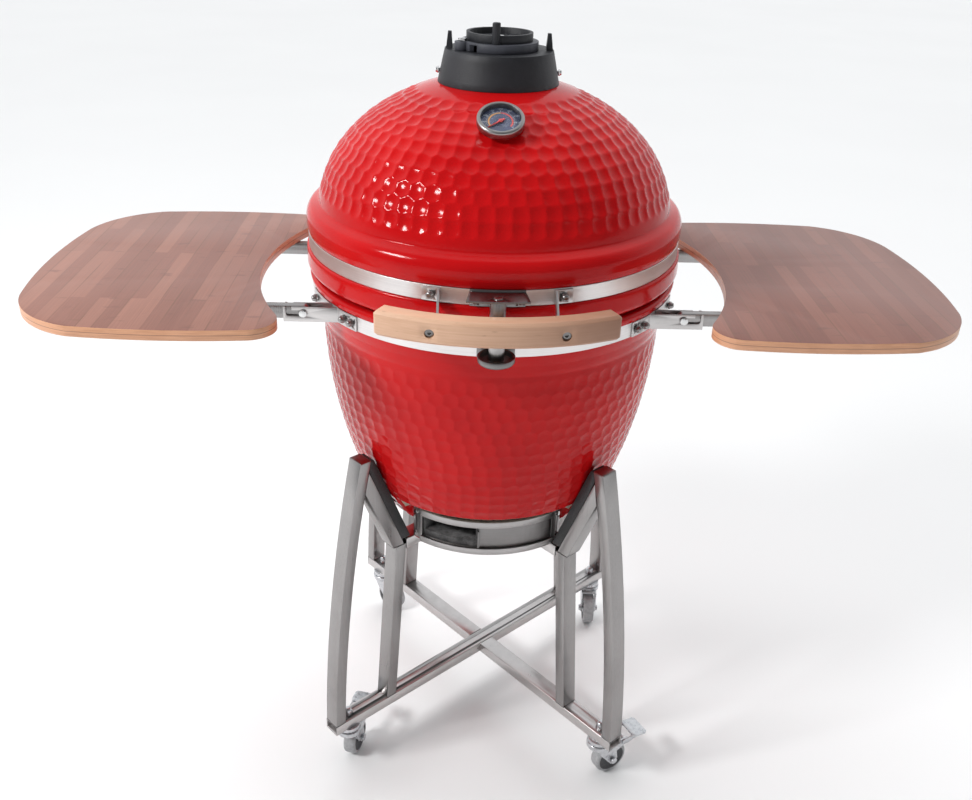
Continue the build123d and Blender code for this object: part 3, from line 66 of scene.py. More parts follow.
# ---------------------------------------------------------------- node materials
class Shader:
    """A material under construction: short calls for the nodes that the materials below use."""

    def __init__(self, name):
        self.material = bpy.data.materials.new(name)
        self.material.use_nodes = True
        self.tree = self.material.node_tree
        self.bsdf = self.tree.nodes["Principled BSDF"]

    def node(self, kind, **settings):
        made = self.tree.nodes.new(kind)
        for key, value in settings.items():
            setattr(made, key, value)
        return made

    def link(self, source, target):
        self.tree.links.new(source, target)

    def set(self, **values):
        """Set uniform inputs of the surface, named with underscores."""
        for key, value in values.items():
            self.bsdf.inputs[key.replace("_", " ")].default_value = value

    def place(self, scale=(1, 1, 1), turn=(0, 0, 0)):
        """Object coordinates, stretched and turned."""
        coordinates = self.node("ShaderNodeTexCoord")
        mapping = self.node("ShaderNodeMapping")
        mapping.inputs["Scale"].default_value = scale
        mapping.inputs["Rotation"].default_value = turn
        self.link(coordinates.outputs["Object"], mapping.inputs["Vector"])
        return mapping.outputs["Vector"]

    def noise(self, vector, scale, detail=3.0, roughness=0.5, distortion=0.0):
        noise = self.node("ShaderNodeTexNoise")
        noise.inputs["Scale"].default_value = scale
        noise.inputs["Detail"].default_value = detail
        noise.inputs["Roughness"].default_value = roughness
        noise.inputs["Distortion"].default_value = distortion
        self.link(vector, noise.inputs["Vector"])
        return noise.outputs["Fac"]

    def ramp(self, factor, *stops):
        """Colour ramp with (position, colour) stops."""
        ramp = self.node("ShaderNodeValToRGB")
        elements = ramp.color_ramp.elements
        while len(elements) < len(stops):
            elements.new(0.5)
        for element, (position, colour) in zip(elements, stops):
            element.position = position
            element.color = (*colour, 1.0)
        self.link(factor, ramp.inputs["Fac"])
        return ramp.outputs["Color"]

    def span(self, factor, low, high):
        """Map a 0 to 1 factor onto low to high."""
        mapped = self.node("ShaderNodeMapRange")
        mapped.inputs["To Min"].default_value = low
        mapped.inputs["To Max"].default_value = high
        self.link(factor, mapped.inputs["Value"])
        return mapped.outputs["Result"]

    def blend(self, factor, first, second, mode="MIX"):
        """Mix two colours; factor may be a socket or a number."""
        mix = self.node("ShaderNodeMix", data_type="RGBA", blend_type=mode)
        for value, socket in ((factor, mix.inputs[0]), (first, mix.inputs[6]), (second, mix.inputs[7])):
            if isinstance(value, (int, float)):
                socket.default_value = value
            elif isinstance(value, tuple):
                socket.default_value = (*value, 1.0)
            else:
                self.link(value, socket)
        return mix.outputs[2]

    def math(self, operation, first, second=0.0):
        made = self.node("ShaderNodeMath", operation=operation)
        for value, socket in ((first, made.inputs[0]), (second, made.inputs[1])):
            if isinstance(value, (int, float)):
                socket.default_value = value
            else:
                self.link(value, socket)
        return made.outputs[0]

    def bricks(self, vector, size, greys, joint, joint_smooth, offset, every):
        """Brick pattern: size is (length, height) of a brick, greys its two tones and the joint's tone."""
        pattern = self.node("ShaderNodeTexBrick", offset=offset, offset_frequency=every)
        pattern.inputs["Scale"].default_value = 1.0
        for socket, grey in zip(("Color1", "Color2", "Mortar"), greys):
            pattern.inputs[socket].default_value = (grey, grey, grey, 1)
        pattern.inputs["Mortar Size"].default_value = joint
        pattern.inputs["Mortar Smooth"].default_value = joint_smooth
        pattern.inputs["Brick Width"].default_value = size[0]
        pattern.inputs["Row Height"].default_value = size[1]
        self.link(vector, pattern.inputs["Vector"])
        return pattern

    def bump(self, height, distance, strength=1.0):
        bump = self.node("ShaderNodeBump")
        bump.inputs["Distance"].default_value = distance
        bump.inputs["Strength"].default_value = strength
        self.link(height, bump.inputs["Height"])
        self.link(bump.outputs["Normal"], self.bsdf.inputs["Normal"])

    def colour(self, socket):
        self.link(socket, self.bsdf.inputs["Base Color"])

    def roughness(self, socket):
        self.link(socket, self.bsdf.inputs["Roughness"])


def red_glaze():
    s = Shader("red_glaze")
    cloud = s.noise(s.place(), 9.0, 4.0)
    s.colour(s.ramp(cloud, (0.3, (0.46, 0.003, 0.005)), (0.7, (0.56, 0.006, 0.007))))
    orange_peel = s.noise(s.place(), 260.0, 2.0)
    s.roughness(s.span(s.noise(s.place(), 30.0), 0.09, 0.16))
    s.bump(orange_peel, 0.00010)
    s.set(IOR=1.27)
    return s.material


def brushed_steel(name, stretch, tone=0.34, rough=0.28):
    """Satin stainless steel with its brushing along the axis where stretch is small."""
    s = Shader(name)
    lines = s.noise(s.place(scale=stretch), 1.0, 6.0, 0.7)
    smudge = s.noise(s.place(), 14.0, 3.0)
    dark = (tone * 0.80, tone * 0.77, tone * 0.76)
    light = (tone * 1.10, tone * 1.06, tone * 1.05)
    brushing = s.ramp(lines, (0.25, dark), (0.75, light))
    clouds = s.ramp(smudge, (0.35, dark), (0.65, light))
    s.colour(s.blend(0.35, brushing, clouds))
    s.roughness(s.span(s.math("MULTIPLY", s.math("ADD", lines, smudge), 0.5), rough * 0.75, rough * 1.35))
    s.bump(lines, 0.00006)
    s.set(Metallic=1.0, Anisotropic=0.4)
    return s.material


def polished_steel():
    s = Shader("polished_steel")
    haze = s.noise(s.place(), 60.0, 3.0)
    s.colour(s.ramp(haze, (0.3, (0.62, 0.62, 0.62)), (0.7, (0.72, 0.72, 0.72))))
    s.roughness(s.span(haze, 0.08, 0.2))
    s.set(Metallic=1.0)
    return s.material


def zinc_plate():
    s = Shader("zinc_plate")
    patch = s.noise(s.place(), 120.0, 4.0)
    s.colour(s.ramp(patch, (0.3, (0.50, 0.51, 0.53)), (0.7, (0.68, 0.69, 0.71))))
    s.roughness(s.span(patch, 0.2, 0.38))
    s.bump(patch, 0.00005)
    s.set(Metallic=1.0)
    return s.material


def cast_iron(name, tone):
    s = Shader(name)
    sand = s.noise(s.place(), 900.0, 3.0, 0.6)
    patch = s.noise(s.place(), 25.0, 3.0)
    dark = (tone * 0.7, tone * 0.73, tone * 0.9)
    light = (tone * 1.25, tone * 1.3, tone * 1.6)
    s.colour(s.ramp(patch, (0.3, dark), (0.7, light)))
    s.roughness(s.span(sand, 0.38, 0.62))
    s.bump(sand, 0.0005, 0.6)
    s.set(IOR=1.45)
    return s.material


def grain(s, across, tone_low, tone_high):
    """Long fibres: fine streaks on a broad drift of tone."""
    fine = s.noise(s.place(scale=across), 1.0, 8.0, 0.65, 0.2)
    return s.ramp(fine, (0.28, tone_low), (0.72, tone_high)), fine


def bamboo_handle():
    s = Shader("bamboo")
    colour, fine = grain(s, (5, 60, 420), (0.64, 0.38, 0.24), (0.80, 0.52, 0.36))
    drift = s.noise(s.place(scale=(2.2, 2, 3)), 3.0, 2.0)
    darker = s.blend(s.span(drift, 0.0, 0.4), colour, (0.45, 0.24, 0.14))
    # Darker towards the right end of the handle: painted shade, away from the key light.
    along = s.node("ShaderNodeSeparateXYZ")
    s.link(s.place(), along.inputs["Vector"])
    to_the_right = s.node("ShaderNodeMapRange")
    to_the_right.inputs["From Min"].default_value = -0.06
    to_the_right.inputs["From Max"].default_value = 0.17
    to_the_right.inputs["To Max"].default_value = 0.85
    s.link(along.outputs["X"], to_the_right.inputs["Value"])
    shaded = s.blend(to_the_right.outputs["Result"], darker, (0.25, 0.105, 0.06))
    spots = s.noise(s.place(scale=(14, 14, 60)), 3.0, 1.0)
    knots = s.ramp(spots, (0.70, (0, 0, 0)), (0.78, (0.6, 0.6, 0.6)))
    s.colour(s.blend(knots, shaded, (0.30, 0.17, 0.09)))
    s.roughness(s.span(fine, 0.38, 0.55))
    s.bump(fine, 0.0002)
    s.set(Coat_Weight=0.12, Coat_Roughness=0.3)
    return s.material


def bamboo_board(name, shade):
    """Laminated strips that run front to back, each with its own tone and the marks of the culm's nodes."""
    s = Shader(name)
    strip_width = 21 * MM
    strip_length = 300 * MM
    culm_length = 193 * MM         # from one node of the bamboo to the next
    swapped = s.place(turn=(0, 0, math.pi / 2))
    strips = s.bricks(swapped, (strip_length, strip_width), (0.0, 1.0, 0.3), 0.2 * MM, 0.6, 0.37, 2)
    dark, middle, light = (0.230, 0.100, 0.074), (0.268, 0.120, 0.088), (0.315, 0.146, 0.106)
    tone = s.ramp(strips.outputs["Color"], (0.0, dark), (0.5, middle), (1.0, light))
    culm = s.bricks(swapped, (culm_length, strip_width), (0.0, 0.0, 1.0), 1.6 * MM, 1.0, 0.61, 3)
    fibres, fine = grain(s, (520, 7, 200), (0.80, 0.78, 0.76), (1.12, 1.08, 1.06))
    # shade darkens the whole board; below one it is painted shade.
    wood = s.blend(1.0, s.blend(0.9, tone, fibres, "MULTIPLY"), shade, "MULTIPLY")
    breakup = s.noise(s.place(scale=(48, 7, 1)), 1.0, 1.0)
    kept = s.ramp(breakup, (0.45, (0, 0, 0)), (0.6, (0.75, 0.75, 0.75)))
    marks = s.math("MULTIPLY", culm.outputs["Fac"], kept)
    stain = s.noise(s.place(scale=(26, 60, 1)), 1.0, 2.0)
    smudges = s.ramp(stain, (0.64, (0, 0, 0)), (0.74, (0.5, 0.5, 0.5)))
    s.colour(s.blend(smudges, s.blend(marks, wood, (0.16, 0.075, 0.045)), (0.15, 0.065, 0.05)))
    s.roughness(s.span(fine, 0.34, 0.50))
    s.bump(fine, 0.00012)
    s.set(Coat_Weight=0.12, Coat_Roughness=0.25)
    return s.material


def bamboo_edge():
    """Side of a board: two plies with a thin glue line, lighter than the top."""
    s = Shader("bamboo_edge")
    colour, fine = grain(s, (30, 30, 500), (0.56, 0.27, 0.15), (0.76, 0.40, 0.235))
    low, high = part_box("right_shelf_board")
    height = s.node("ShaderNodeSeparateXYZ")
    s.link(s.place(), height.inputs["Vector"])
    from_line = s.math("ABSOLUTE", s.math("SUBTRACT", height.outputs["Z"], (low[2] + high[2]) / 2))
    line = s.math("LESS_THAN", from_line, 0.5 * MM)
    s.colour(s.blend(s.math("MULTIPLY", line, 0.6), colour, (0.16, 0.07, 0.04)))
    s.roughness(s.span(fine, 0.35, 0.5))
    s.bump(fine, 0.0002)
    s.set(Coat_Weight=0.2, Coat_Roughness=0.25)
    return s.material


def black_rubber():
    s = Shader("black_rubber")
    grit = s.noise(s.place(), 500.0, 4.0)
    s.colour(s.ramp(grit, (0.3, (0.020, 0.020, 0.021)), (0.7, (0.050, 0.050, 0.052))))
    s.roughness(s.span(grit, 0.45, 0.7))
    s.bump(grit, 0.0004)
    return s.material


def wheel_tread():
    s = Shader("wheel_tread")
    scuff = s.noise(s.place(), 180.0, 4.0)
    s.colour(s.ramp(scuff, (0.3, (0.33, 0.33, 0.34)), (0.7, (0.46, 0.46, 0.47))))
    s.roughness(s.span(scuff, 0.45, 0.7))
    s.bump(scuff, 0.0003)
    return s.material


def wheel_side():
    s = Shader("wheel_side")
    scuff = s.noise(s.place(), 150.0, 4.0)
    s.colour(s.ramp(scuff, (0.3, (0.045, 0.045, 0.05)), (0.7, (0.085, 0.085, 0.09))))
    s.roughness(s.span(scuff, 0.4, 0.65))
    s.bump(scuff, 0.0002)
    return s.material


def gasket_felt():
    s = Shader("gasket_felt")
    fibre = s.noise(s.place(), 1400.0, 5.0, 0.7)
    s.colour(s.ramp(fibre, (0.3, (0.02, 0.02, 0.02)), (0.7, (0.07, 0.07, 0.07))))
    s.roughness(s.span(fibre, 0.85, 1.0))
    s.bump(fibre, 0.0006)
    s.set(Sheen_Weight=0.3)
    return s.material


def fire_clay():
    s = Shader("fire_clay")
    pores = s.noise(s.place(), 320.0, 6.0, 0.7)
    soot = s.noise(s.place(), 8.0, 3.0)
    base = s.ramp(pores, (0.3, (0.46, 0.39, 0.31)), (0.7, (0.62, 0.54, 0.44)))
    s.colour(s.blend(s.span(soot, 0.0, 0.35), base, (0.16, 0.13, 0.11)))
    s.roughness(s.span(pores, 0.8, 0.95))
    s.bump(pores, 0.0006)
    return s.material


def soot_and_shade_clay():
    # Dark grey of the port: soot, and painted shade where the recess behind the draft frame lies in shadow.
    s = Shader("soot_and_shade_clay")
    ash = s.noise(s.place(), 60.0, 5.0, 0.7)
    s.colour(s.ramp(ash, (0.35, (0.035, 0.034, 0.034)), (0.7, (0.17, 0.165, 0.165))))
    s.roughness(s.span(ash, 0.7, 0.95))
    s.bump(ash, 0.0010)
    return s.material


def dial_paint(name, low, high):
    s = Shader(name)
    fleck = s.noise(s.place(), 700.0, 3.0)
    s.colour(s.ramp(fleck, (0.3, low), (0.7, high)))
    s.roughness(s.span(fleck, 0.3, 0.5))
    return s.material


def dial_glass():
    s = Shader("dial_glass")
    smear = s.noise(s.place(), 60.0, 3.0)
    s.roughness(s.span(smear, 0.0, 0.06))
    s.colour(s.ramp(smear, (0.3, (0.95, 0.97, 1.0)), (0.7, (1.0, 1.0, 1.0))))
    s.set(Transmission_Weight=1.0, IOR=1.08, Specular_IOR_Level=0.2)
    return s.material


def floor_paint():
    s = Shader("floor_paint")
    drift = s.noise(s.place(), 0.7, 2.0)
    s.colour(s.ramp(drift, (0.3, (0.86, 0.86, 0.86)), (0.7, (0.88, 0.88, 0.88))))
    s.roughness(s.span(drift, 0.7, 0.8))
    return s.material


MATERIALS = {
    "red_glaze": red_glaze(),
    "gasket_felt": gasket_felt(),
    "fire_clay": fire_clay(),
    "soot_and_shade_clay": soot_and_shade_clay(),
    "cast_iron": cast_iron("cast_iron", 0.015),
    # The vent cap gets a lighter copy of the cast iron: painted light from the top lighting that falls on it.
    "cap_iron_painted_light": cast_iron("cap_iron_painted_light", 0.055),
    "stainless": brushed_steel("stainless", (900, 900, 12)),
    "band_steel": brushed_steel("band_steel", (6, 6, 1600), 0.80, 0.36),
    "frame_steel": brushed_steel("frame_steel", (30, 30, 900), 0.42, 0.30),
    "level_steel": brushed_steel("level_steel", (40, 40, 1500), 0.58),
    "door_steel": brushed_steel("door_steel", (30, 30, 900), 0.24, 0.32),
    # Darker steel as painted shade, for the latch bracket and cup in shadow under the handle and the bolt heads
    # deep in it.
    "shaded_steel": brushed_steel("shaded_steel", (200, 200, 200), 0.22, 0.3),
    "polished_steel": polished_steel(),
    "spring_steel": brushed_steel("spring_steel", (300, 300, 300), 0.3, 0.3),
    "bamboo": bamboo_handle(),
    "bamboo_board": bamboo_board("bamboo_board", (1.0, 1.0, 1.0)),
    # A darker copy of the board for the right shelf: painted shade, as that shelf lies away from the key light.
    "bamboo_board_painted_shade": bamboo_board("bamboo_board_painted_shade", (0.84, 0.76, 0.76)),
    "bamboo_edge": bamboo_edge(),
    "dial_face": dial_paint("dial_face", (0.045, 0.06, 0.13), (0.06, 0.08, 0.16)),
    "dial_mark": dial_paint("dial_mark", (0.55, 0.62, 0.70), (0.70, 0.76, 0.82)),
    "dial_warm": dial_paint("dial_warm", (0.80, 0.38, 0.10), (0.88, 0.46, 0.14)),
    "dial_hot": dial_paint("dial_hot", (0.72, 0.06, 0.05), (0.80, 0.08, 0.06)),
    "dial_glass": dial_glass(),
    "needle_red": dial_paint("needle_red", (0.60, 0.03, 0.03), (0.72, 0.05, 0.04)),
    "black_rubber": black_rubber(),
    "zinc_plate": zinc_plate(),
    "wheel_tread": wheel_tread(),
    "wheel_side": wheel_side(),
}
SLOT_OF_NODE = {entry["node"]: entry["material_slot"] for entry in frame["record"]["subparts"]}


# ---------------------------------------------------------------- pieces
SHARP_DEG = 35.0                  # edges that turn by more than this are rounded


def add_piece(name, mesh, body, slot, material=None, smooth=True):
    """Put a mesh in the scene as a piece that rides on a body."""
    piece = bpy.data.objects.new(name, mesh)
    bpy.context.scene.collection.objects.link(piece)
    if not mesh.materials:
        mesh.materials.append(MATERIALS[material or slot])
    mesh.polygons.foreach_set("use_smooth", [smooth] * len(mesh.polygons))
    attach(piece, body)
    return piece


def soften(piece, width):
    """Round the sharp edges of a piece."""
    bevel = piece.modifiers.new("soften", "BEVEL")
    bevel.width = width
    bevel.segments = 2
    bevel.limit_method = "ANGLE"
    bevel.angle_limit = math.radians(SHARP_DEG)
    bevel.harden_normals = True


def grid_mesh(name, points):
    """Mesh over a numpy grid of points, (profile point, turn, xyz), closed both ways."""
    rows, columns = points.shape[:2]
    index = np.arange(rows * columns).reshape(rows, columns)
    following = np.roll(index, -1, axis=1)
    upper, upper_following = np.roll(index, -1, axis=0), np.roll(following, -1, axis=0)
    faces = np.stack([index, following, upper_following, upper], axis=-1).reshape(-1, 4)
    mesh = bpy.data.meshes.new(name)
    mesh.vertices.add(rows * columns)
    mesh.vertices.foreach_set("co", points.reshape(-1).astype(np.float32))
    mesh.loops.add(faces.size)
    mesh.loops.foreach_set("vertex_index", faces.reshape(-1))
    mesh.polygons.add(len(faces))
    mesh.polygons.foreach_set("loop_start", np.arange(0, faces.size, 4))
    mesh.update(calc_edges=True)
    mesh.validate()
    return mesh


def spin(profile, around=AROUND):
    """Grid of points from turning a profile of (radius, z) about the upright axis."""
    profile = np.asarray(profile)
    angles = np.linspace(0, TURN, around, endpoint=False)
    ring = np.stack([np.cos(angles), np.sin(angles)], axis=-1)
    flat = profile[:, None, 0:1] * ring[None]
    height = np.repeat(profile[:, 1][:, None, None], around, axis=1)
    return np.concatenate([flat, height], axis=-1)


def resample(points, step):
    """Points evenly along a polyline, at most step apart."""
    points = np.asarray(points, float)
    lengths = np.hypot(*np.diff(points, axis=0).T)
    along = np.concatenate([[0], np.cumsum(lengths)])
    count = max(2, int(math.ceil(along[-1] / step)) + 1)
    where = np.linspace(0, along[-1], count)
    return np.stack([np.interp(where, along, points[:, k]) for k in range(2)], axis=-1)


def arc_points(centre, radius, from_deg, to_deg, count, squash=1.0):
    angles = np.radians(np.linspace(from_deg, to_deg, count))
    return [(centre[0] + radius * math.cos(a), centre[1] + radius * squash * math.sin(a)) for a in angles]


def dimple_centres(profile):
    """Centres of the dimples on the surface of a profile, in staggered rows."""
    profile = np.asarray(profile)
    lengths = np.hypot(*np.diff(profile, axis=0).T)
    along = np.concatenate([[0], np.cumsum(lengths)])
    rows = int((along[-1] - DIMPLE_PITCH * 0.6) / DIMPLE_ROW)
    centres = []
    for row in range(rows):
        where = DIMPLE_PITCH * 0.55 + row * DIMPLE_ROW
        radius = np.interp(where, along, profile[:, 0])
        z = np.interp(where, along, profile[:, 1])
        count = max(12, round(TURN * radius / DIMPLE_PITCH))
        for k in range(count):
            angle = TURN * (k + 0.5 * (row % 2)) / count
            centres.append((radius * math.cos(angle), radius * math.sin(angle), z))
    return centres


def press_dimples(points, normals, centres, depth_mid):
    """Push a grid of surface points in where a dimple lies; the hollows meet in thin ridges."""
    tree = kdtree.KDTree(len(centres))
    for k, centre in enumerate(centres):
        tree.insert(centre, k)
    tree.balance()
    reach = DIMPLE_PITCH * 0.58
    flat_points = points.reshape(-1, 3)
    depth = np.zeros(len(flat_points))
    for k, point in enumerate(flat_points):
        distance = tree.find(point)[2]
        if distance < reach:
            depth[k] = 1 - (distance / reach) ** 2
    sunk = flat_points - normals.reshape(-1, 3) * (depth_mid * depth[:, None])
    return sunk.reshape(points.shape)


def profile_normals(profile):
    """Outward normals of a turned profile that runs upwards."""
    profile = np.asarray(profile)
    slope = np.gradient(profile, axis=0)
    slope /= np.hypot(slope[:, 0], slope[:, 1])[:, None]
    return spin(np.stack([slope[:, 1], -slope[:, 0]], axis=-1))


# ---------------------------------------------------------------- ceramic egg
WALL = 24 * MM


def build_lid():
    low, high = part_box("lid_dome")
    band_low, band_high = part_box("lid_band")
    lip_r = high[0] - 0.0002
    foot = low[2]
    recess_r = band_high[0] - 2.0 * MM
    band_foot, band_top = band_low[2] - 0.5 * MM, band_high[2] + 0.5 * MM
    half_wide, half_high = 264 * MM, 194 * MM
    dome_base = 953 * MM
    crease_z = band_top + 42 * MM
    crease_r = half_wide * math.sqrt(1 - ((crease_z - dome_base) / half_high) ** 2)
    neck_r = 73 * MM
    lip = arc_points((lip_r - 11 * MM, foot + 11 * MM), 11 * MM, -90, 0, 14)
    rim = [(recess_r + 1.5 * MM, band_top), (lip_r - 3.2 * MM, band_top + 4 * MM)]
    rim += [(lip_r - 2.0 * MM, band_top + 10 * MM), (lip_r - 1.8 * MM, band_top + 16 * MM)]
    rim += arc_points((lip_r - 15.8 * MM, crease_z - 24 * MM), 14 * MM, 0, 62, 14, 1.45)
    rim += [(crease_r + 3.2 * MM, crease_z - 2.2 * MM), (crease_r + 0.8 * MM, crease_z - 0.6 * MM)]
    groove = [(lip_r - 0.4 * MM, band_foot - 3 * MM), (lip_r - 1.5 * MM, band_foot), (recess_r, band_foot)]
    smooth_part = resample(lip + groove + [(recess_r, band_top)] + rim, DOME_STEP * 0.7)
    start = math.degrees(math.asin((crease_z - dome_base) / half_high))
    end = math.degrees(math.acos(neck_r / half_wide))
    dome = resample(arc_points((0, dome_base), half_wide, start, end, 400, half_high / half_wide), DOME_STEP)
    points = press_dimples(spin(dome), profile_normals(dome), dimple_centres(dome[8:-10]), DOME_DIMPLE)
    outside = np.concatenate([spin(smooth_part), points])
    neck_hole, neck_top = 58 * MM, high[2]
    inner_wide, inner_high = half_wide - WALL, half_high - WALL
    inner_end = math.degrees(math.acos(neck_hole / inner_wide))
    inside = [(neck_r, neck_top), (neck_hole, neck_top)]
    inside += arc_points((0, dome_base), inner_wide, inner_end, 0, 60, inner_high / inner_wide)
    lip_inner = 244 * MM
    inside += [(lip_inner, foot + 30 * MM), (lip_inner, foot), (lip_r - 11 * MM, foot)]
    grid = np.concatenate([outside, spin(resample(inside, LINER_STEP))])
    lid = add_piece("ceramic_lid", grid_mesh("ceramic_lid", grid), "lid", "red_glaze")
    liner_wide, liner_high = half_wide - 5 * MM, half_high - 5 * MM

    def under_dome(r, z):
        in_egg = (r / liner_wide) ** 2 + ((z - dome_base) / liner_high) ** 2 < 1
        return in_egg and r < lip_inner + 2 * MM and z < neck_top - 60 * MM

    line_the_inside(lid, under_dome)
    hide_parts("lid_dome")


def line_the_inside(piece, is_inside):
    """Give the faces inside the egg the look of bare fired clay."""
    piece.data.materials.append(MATERIALS["fire_clay"])
    for polygon in piece.data.polygons:
        x, y, z = polygon.center
        if is_inside(math.hypot(x, y), z):
            polygon.material_index = 1


BOWL_TOP_Z = 795 * MM
BOWL_TOP_R = 264.5 * MM
SIDE_ARC_R = 770 * MM
TURN_Z = 560 * MM
BOTTOM_ARC_R = 250 * MM
BOSS_R = 174 * MM                 # face of the boss that carries the draft frame
INLET_FROM = 235.0                # bearings of the air inlet's sides, in degrees
INLET_TO = 264.0
THROAT_R = 140 * MM
RECESS_HALF_DEG = 43.0            # the recess round the boss, each way from the front
RECESS_FLANK_DEG = 1.6
RECESS_SLOPE = 26 * MM            # height of the slope above it


def bowl_radius(z):
    """Outer radius of the bowl below its shoulder: a long arc, then a tighter one."""
    long_arc = BOWL_TOP_R - SIDE_ARC_R + math.sqrt(SIDE_ARC_R ** 2 - (BOWL_TOP_Z - z) ** 2)
    if z >= TURN_Z:
        return long_arc
    tilt = math.asin((BOWL_TOP_Z - TURN_Z) / SIDE_ARC_R)
    turn_r = BOWL_TOP_R - SIDE_ARC_R + SIDE_ARC_R * math.cos(tilt)
    centre_r = turn_r - BOTTOM_ARC_R * math.cos(tilt)
    centre_z = TURN_Z + BOTTOM_ARC_R * math.sin(tilt)
    return centre_r + math.sqrt(BOTTOM_ARC_R ** 2 - (centre_z - z) ** 2)


def build_bowl():
    low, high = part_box("base_bowl")
    band_low, band_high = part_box("base_band")
    draft_low, draft_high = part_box("draft_frame")
    recess_r = band_high[0] - 2.0 * MM
    band_foot, band_top = band_low[2] - 0.5 * MM, band_high[2] + 0.5 * MM
    floor, top = low[2], high[2]
    side = resample([(bowl_radius(z), z) for z in np.linspace(floor, BOWL_TOP_Z - 1 * MM, 500)], DOME_STEP)
    points = spin(side)
    sunk = press_dimples(points, profile_normals(side), dimple_centres(side[::-1][4:-12]), BOWL_DIMPLE)
    sunk = sink_recess(sunk, draft_high[2] + 2 * MM)
    shoulder = [
        (BOWL_TOP_R + 0.6 * MM, BOWL_TOP_Z + 1.2 * MM), (BOWL_TOP_R + 2.6 * MM, BOWL_TOP_Z + 7 * MM),
        (BOWL_TOP_R + 5.4 * MM, band_foot - 18 * MM), (recess_r - 3 * MM, band_foot - 9 * MM),
        (recess_r - 0.8 * MM, band_foot - 2.5 * MM), (recess_r, band_foot),
    ]
    lip_r = recess_r + 4.5 * MM
    upper = shoulder + [(recess_r, band_top), (recess_r + 3.2 * MM, band_top)]
    upper += arc_points((lip_r - 6 * MM, top - 6 * MM), 6 * MM, 0, 90, 10)
    outside = np.concatenate([sunk, spin(resample(upper, DOME_STEP * 0.7))])
    inner_lip = 244 * MM
    inside = [(inner_lip, top), (BOWL_TOP_R - WALL, BOWL_TOP_Z)]
    inside += [(bowl_radius(z) - WALL / math.cos(math.atan((BOWL_TOP_Z - z) / SIDE_ARC_R)), z)
               for z in np.linspace(BOWL_TOP_Z - 5 * MM, TURN_Z - 40 * MM, 30)]
    inside += [(158 * MM, floor + WALL + 28 * MM), (132 * MM, floor + WALL)]
    inside += [(2 * MM, floor + WALL), (2 * MM, floor)]
    grid = np.concatenate([outside, spin(resample(inside, LINER_STEP))])
    mesh = grid_mesh("ceramic_bowl", grid)
    open_inlet(mesh, draft_low[2] + 23 * MM, draft_high[2] - 10 * MM)
    bowl = add_piece("ceramic_bowl", mesh, "stand", "red_glaze")

    def in_bowl(r, z):
        skin_r = bowl_radius(min(z, BOWL_TOP_Z)) - 6 * MM
        if z < draft_high[2]:
            skin_r = min(skin_r, BOSS_R - 4 * MM)
        return r < min(skin_r, inner_lip + 2 * MM) and z > floor + 10 * MM

    line_the_inside(bowl, in_bowl)
    paint_soot_and_shade_on_port(bowl.data, draft_low[2], draft_high[2])
    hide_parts("base_bowl")


def open_inlet(mesh, low, high):
    """Cut the air inlet through the bowl's wall and line its throat."""
    work = bmesh.new()
    work.from_mesh(mesh)
    inside = []
    for face in work.faces:
        x, y, z = face.calc_center_median()
        bearing = math.degrees(math.atan2(y, x)) % 360
        if low < z < high and INLET_FROM < bearing < INLET_TO and math.hypot(x, y) > THROAT_R:
            inside.append(face)
    bmesh.ops.delete(work, geom=inside, context="FACES")
    outer_rim = [edge for edge in work.edges if edge.is_boundary and
                 min(math.hypot(*vert.co.xy) for vert in edge.verts) > THROAT_R + 30 * MM]
    throat = bmesh.ops.extrude_edge_only(work, edges=outer_rim)["geom"]
    for vert in [item for item in throat if isinstance(item, bmesh.types.BMVert)]:
        vert.co.xy *= THROAT_R / math.hypot(*vert.co.xy)
    work.normal_update()
    work.to_mesh(mesh)
    work.free()


def paint_soot_and_shade_on_port(mesh, low, high):
    """Darken the face behind the draft frame and the throat of the inlet: partly ash and soot, partly painted
    shade of the recess.
    """
    mesh.materials.append(MATERIALS["soot_and_shade_clay"])
    for polygon in mesh.polygons:
        x, y, z = polygon.center
        off_front = math.degrees(abs(math.atan2(x, -y)))
        in_wall = THROAT_R - 1 * MM < math.hypot(x, y) < BOSS_R + 1 * MM
        if in_wall and low < z < high and off_front < RECESS_HALF_DEG:
            polygon.material_index = 2


def sink_recess(points, top_z):
    """Flatten the bowl's front round the air inlet to the face of the boss that carries the draft frame."""
    x, y, z = points[..., 0], points[..., 1], points[..., 2]
    radius = np.hypot(x, y)
    off_front = np.degrees(np.abs(np.arctan2(x, -y)))
    beside = np.clip((off_front - RECESS_HALF_DEG) / RECESS_FLANK_DEG, 0, 1)
    above = np.clip((z - top_z) / RECESS_SLOPE, 0, 1)
    keep = np.maximum(beside ** 2 * (3 - 2 * beside), above)
    pressed = BOSS_R + (radius - BOSS_R) * keep
    raised = np.where(beside < 0.05, BOSS_R, radius)
    target = np.where(radius > BOSS_R, pressed, raised)
    target = np.where(off_front > RECESS_HALF_DEG + RECESS_FLANK_DEG, radius, target)
    scale = target / radius
    return np.stack([x * scale, y * scale, z], axis=-1)


def build_band(name, node, body):
    low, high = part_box(node)
    outer, inner = high[0], high[0] - 2 * MM
    edge = 0.4 * MM
    face = [(outer - edge, low[2]), (outer, low[2] + edge), (outer, high[2] - edge), (outer - edge, high[2])]
    mesh = grid_mesh(name, spin(face + [(inner, high[2]), (inner, low[2])], 512))
    band = add_piece(name, mesh, body, "stainless", "band_steel")
    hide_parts(node)
    soften(band, 0.2 * MM)


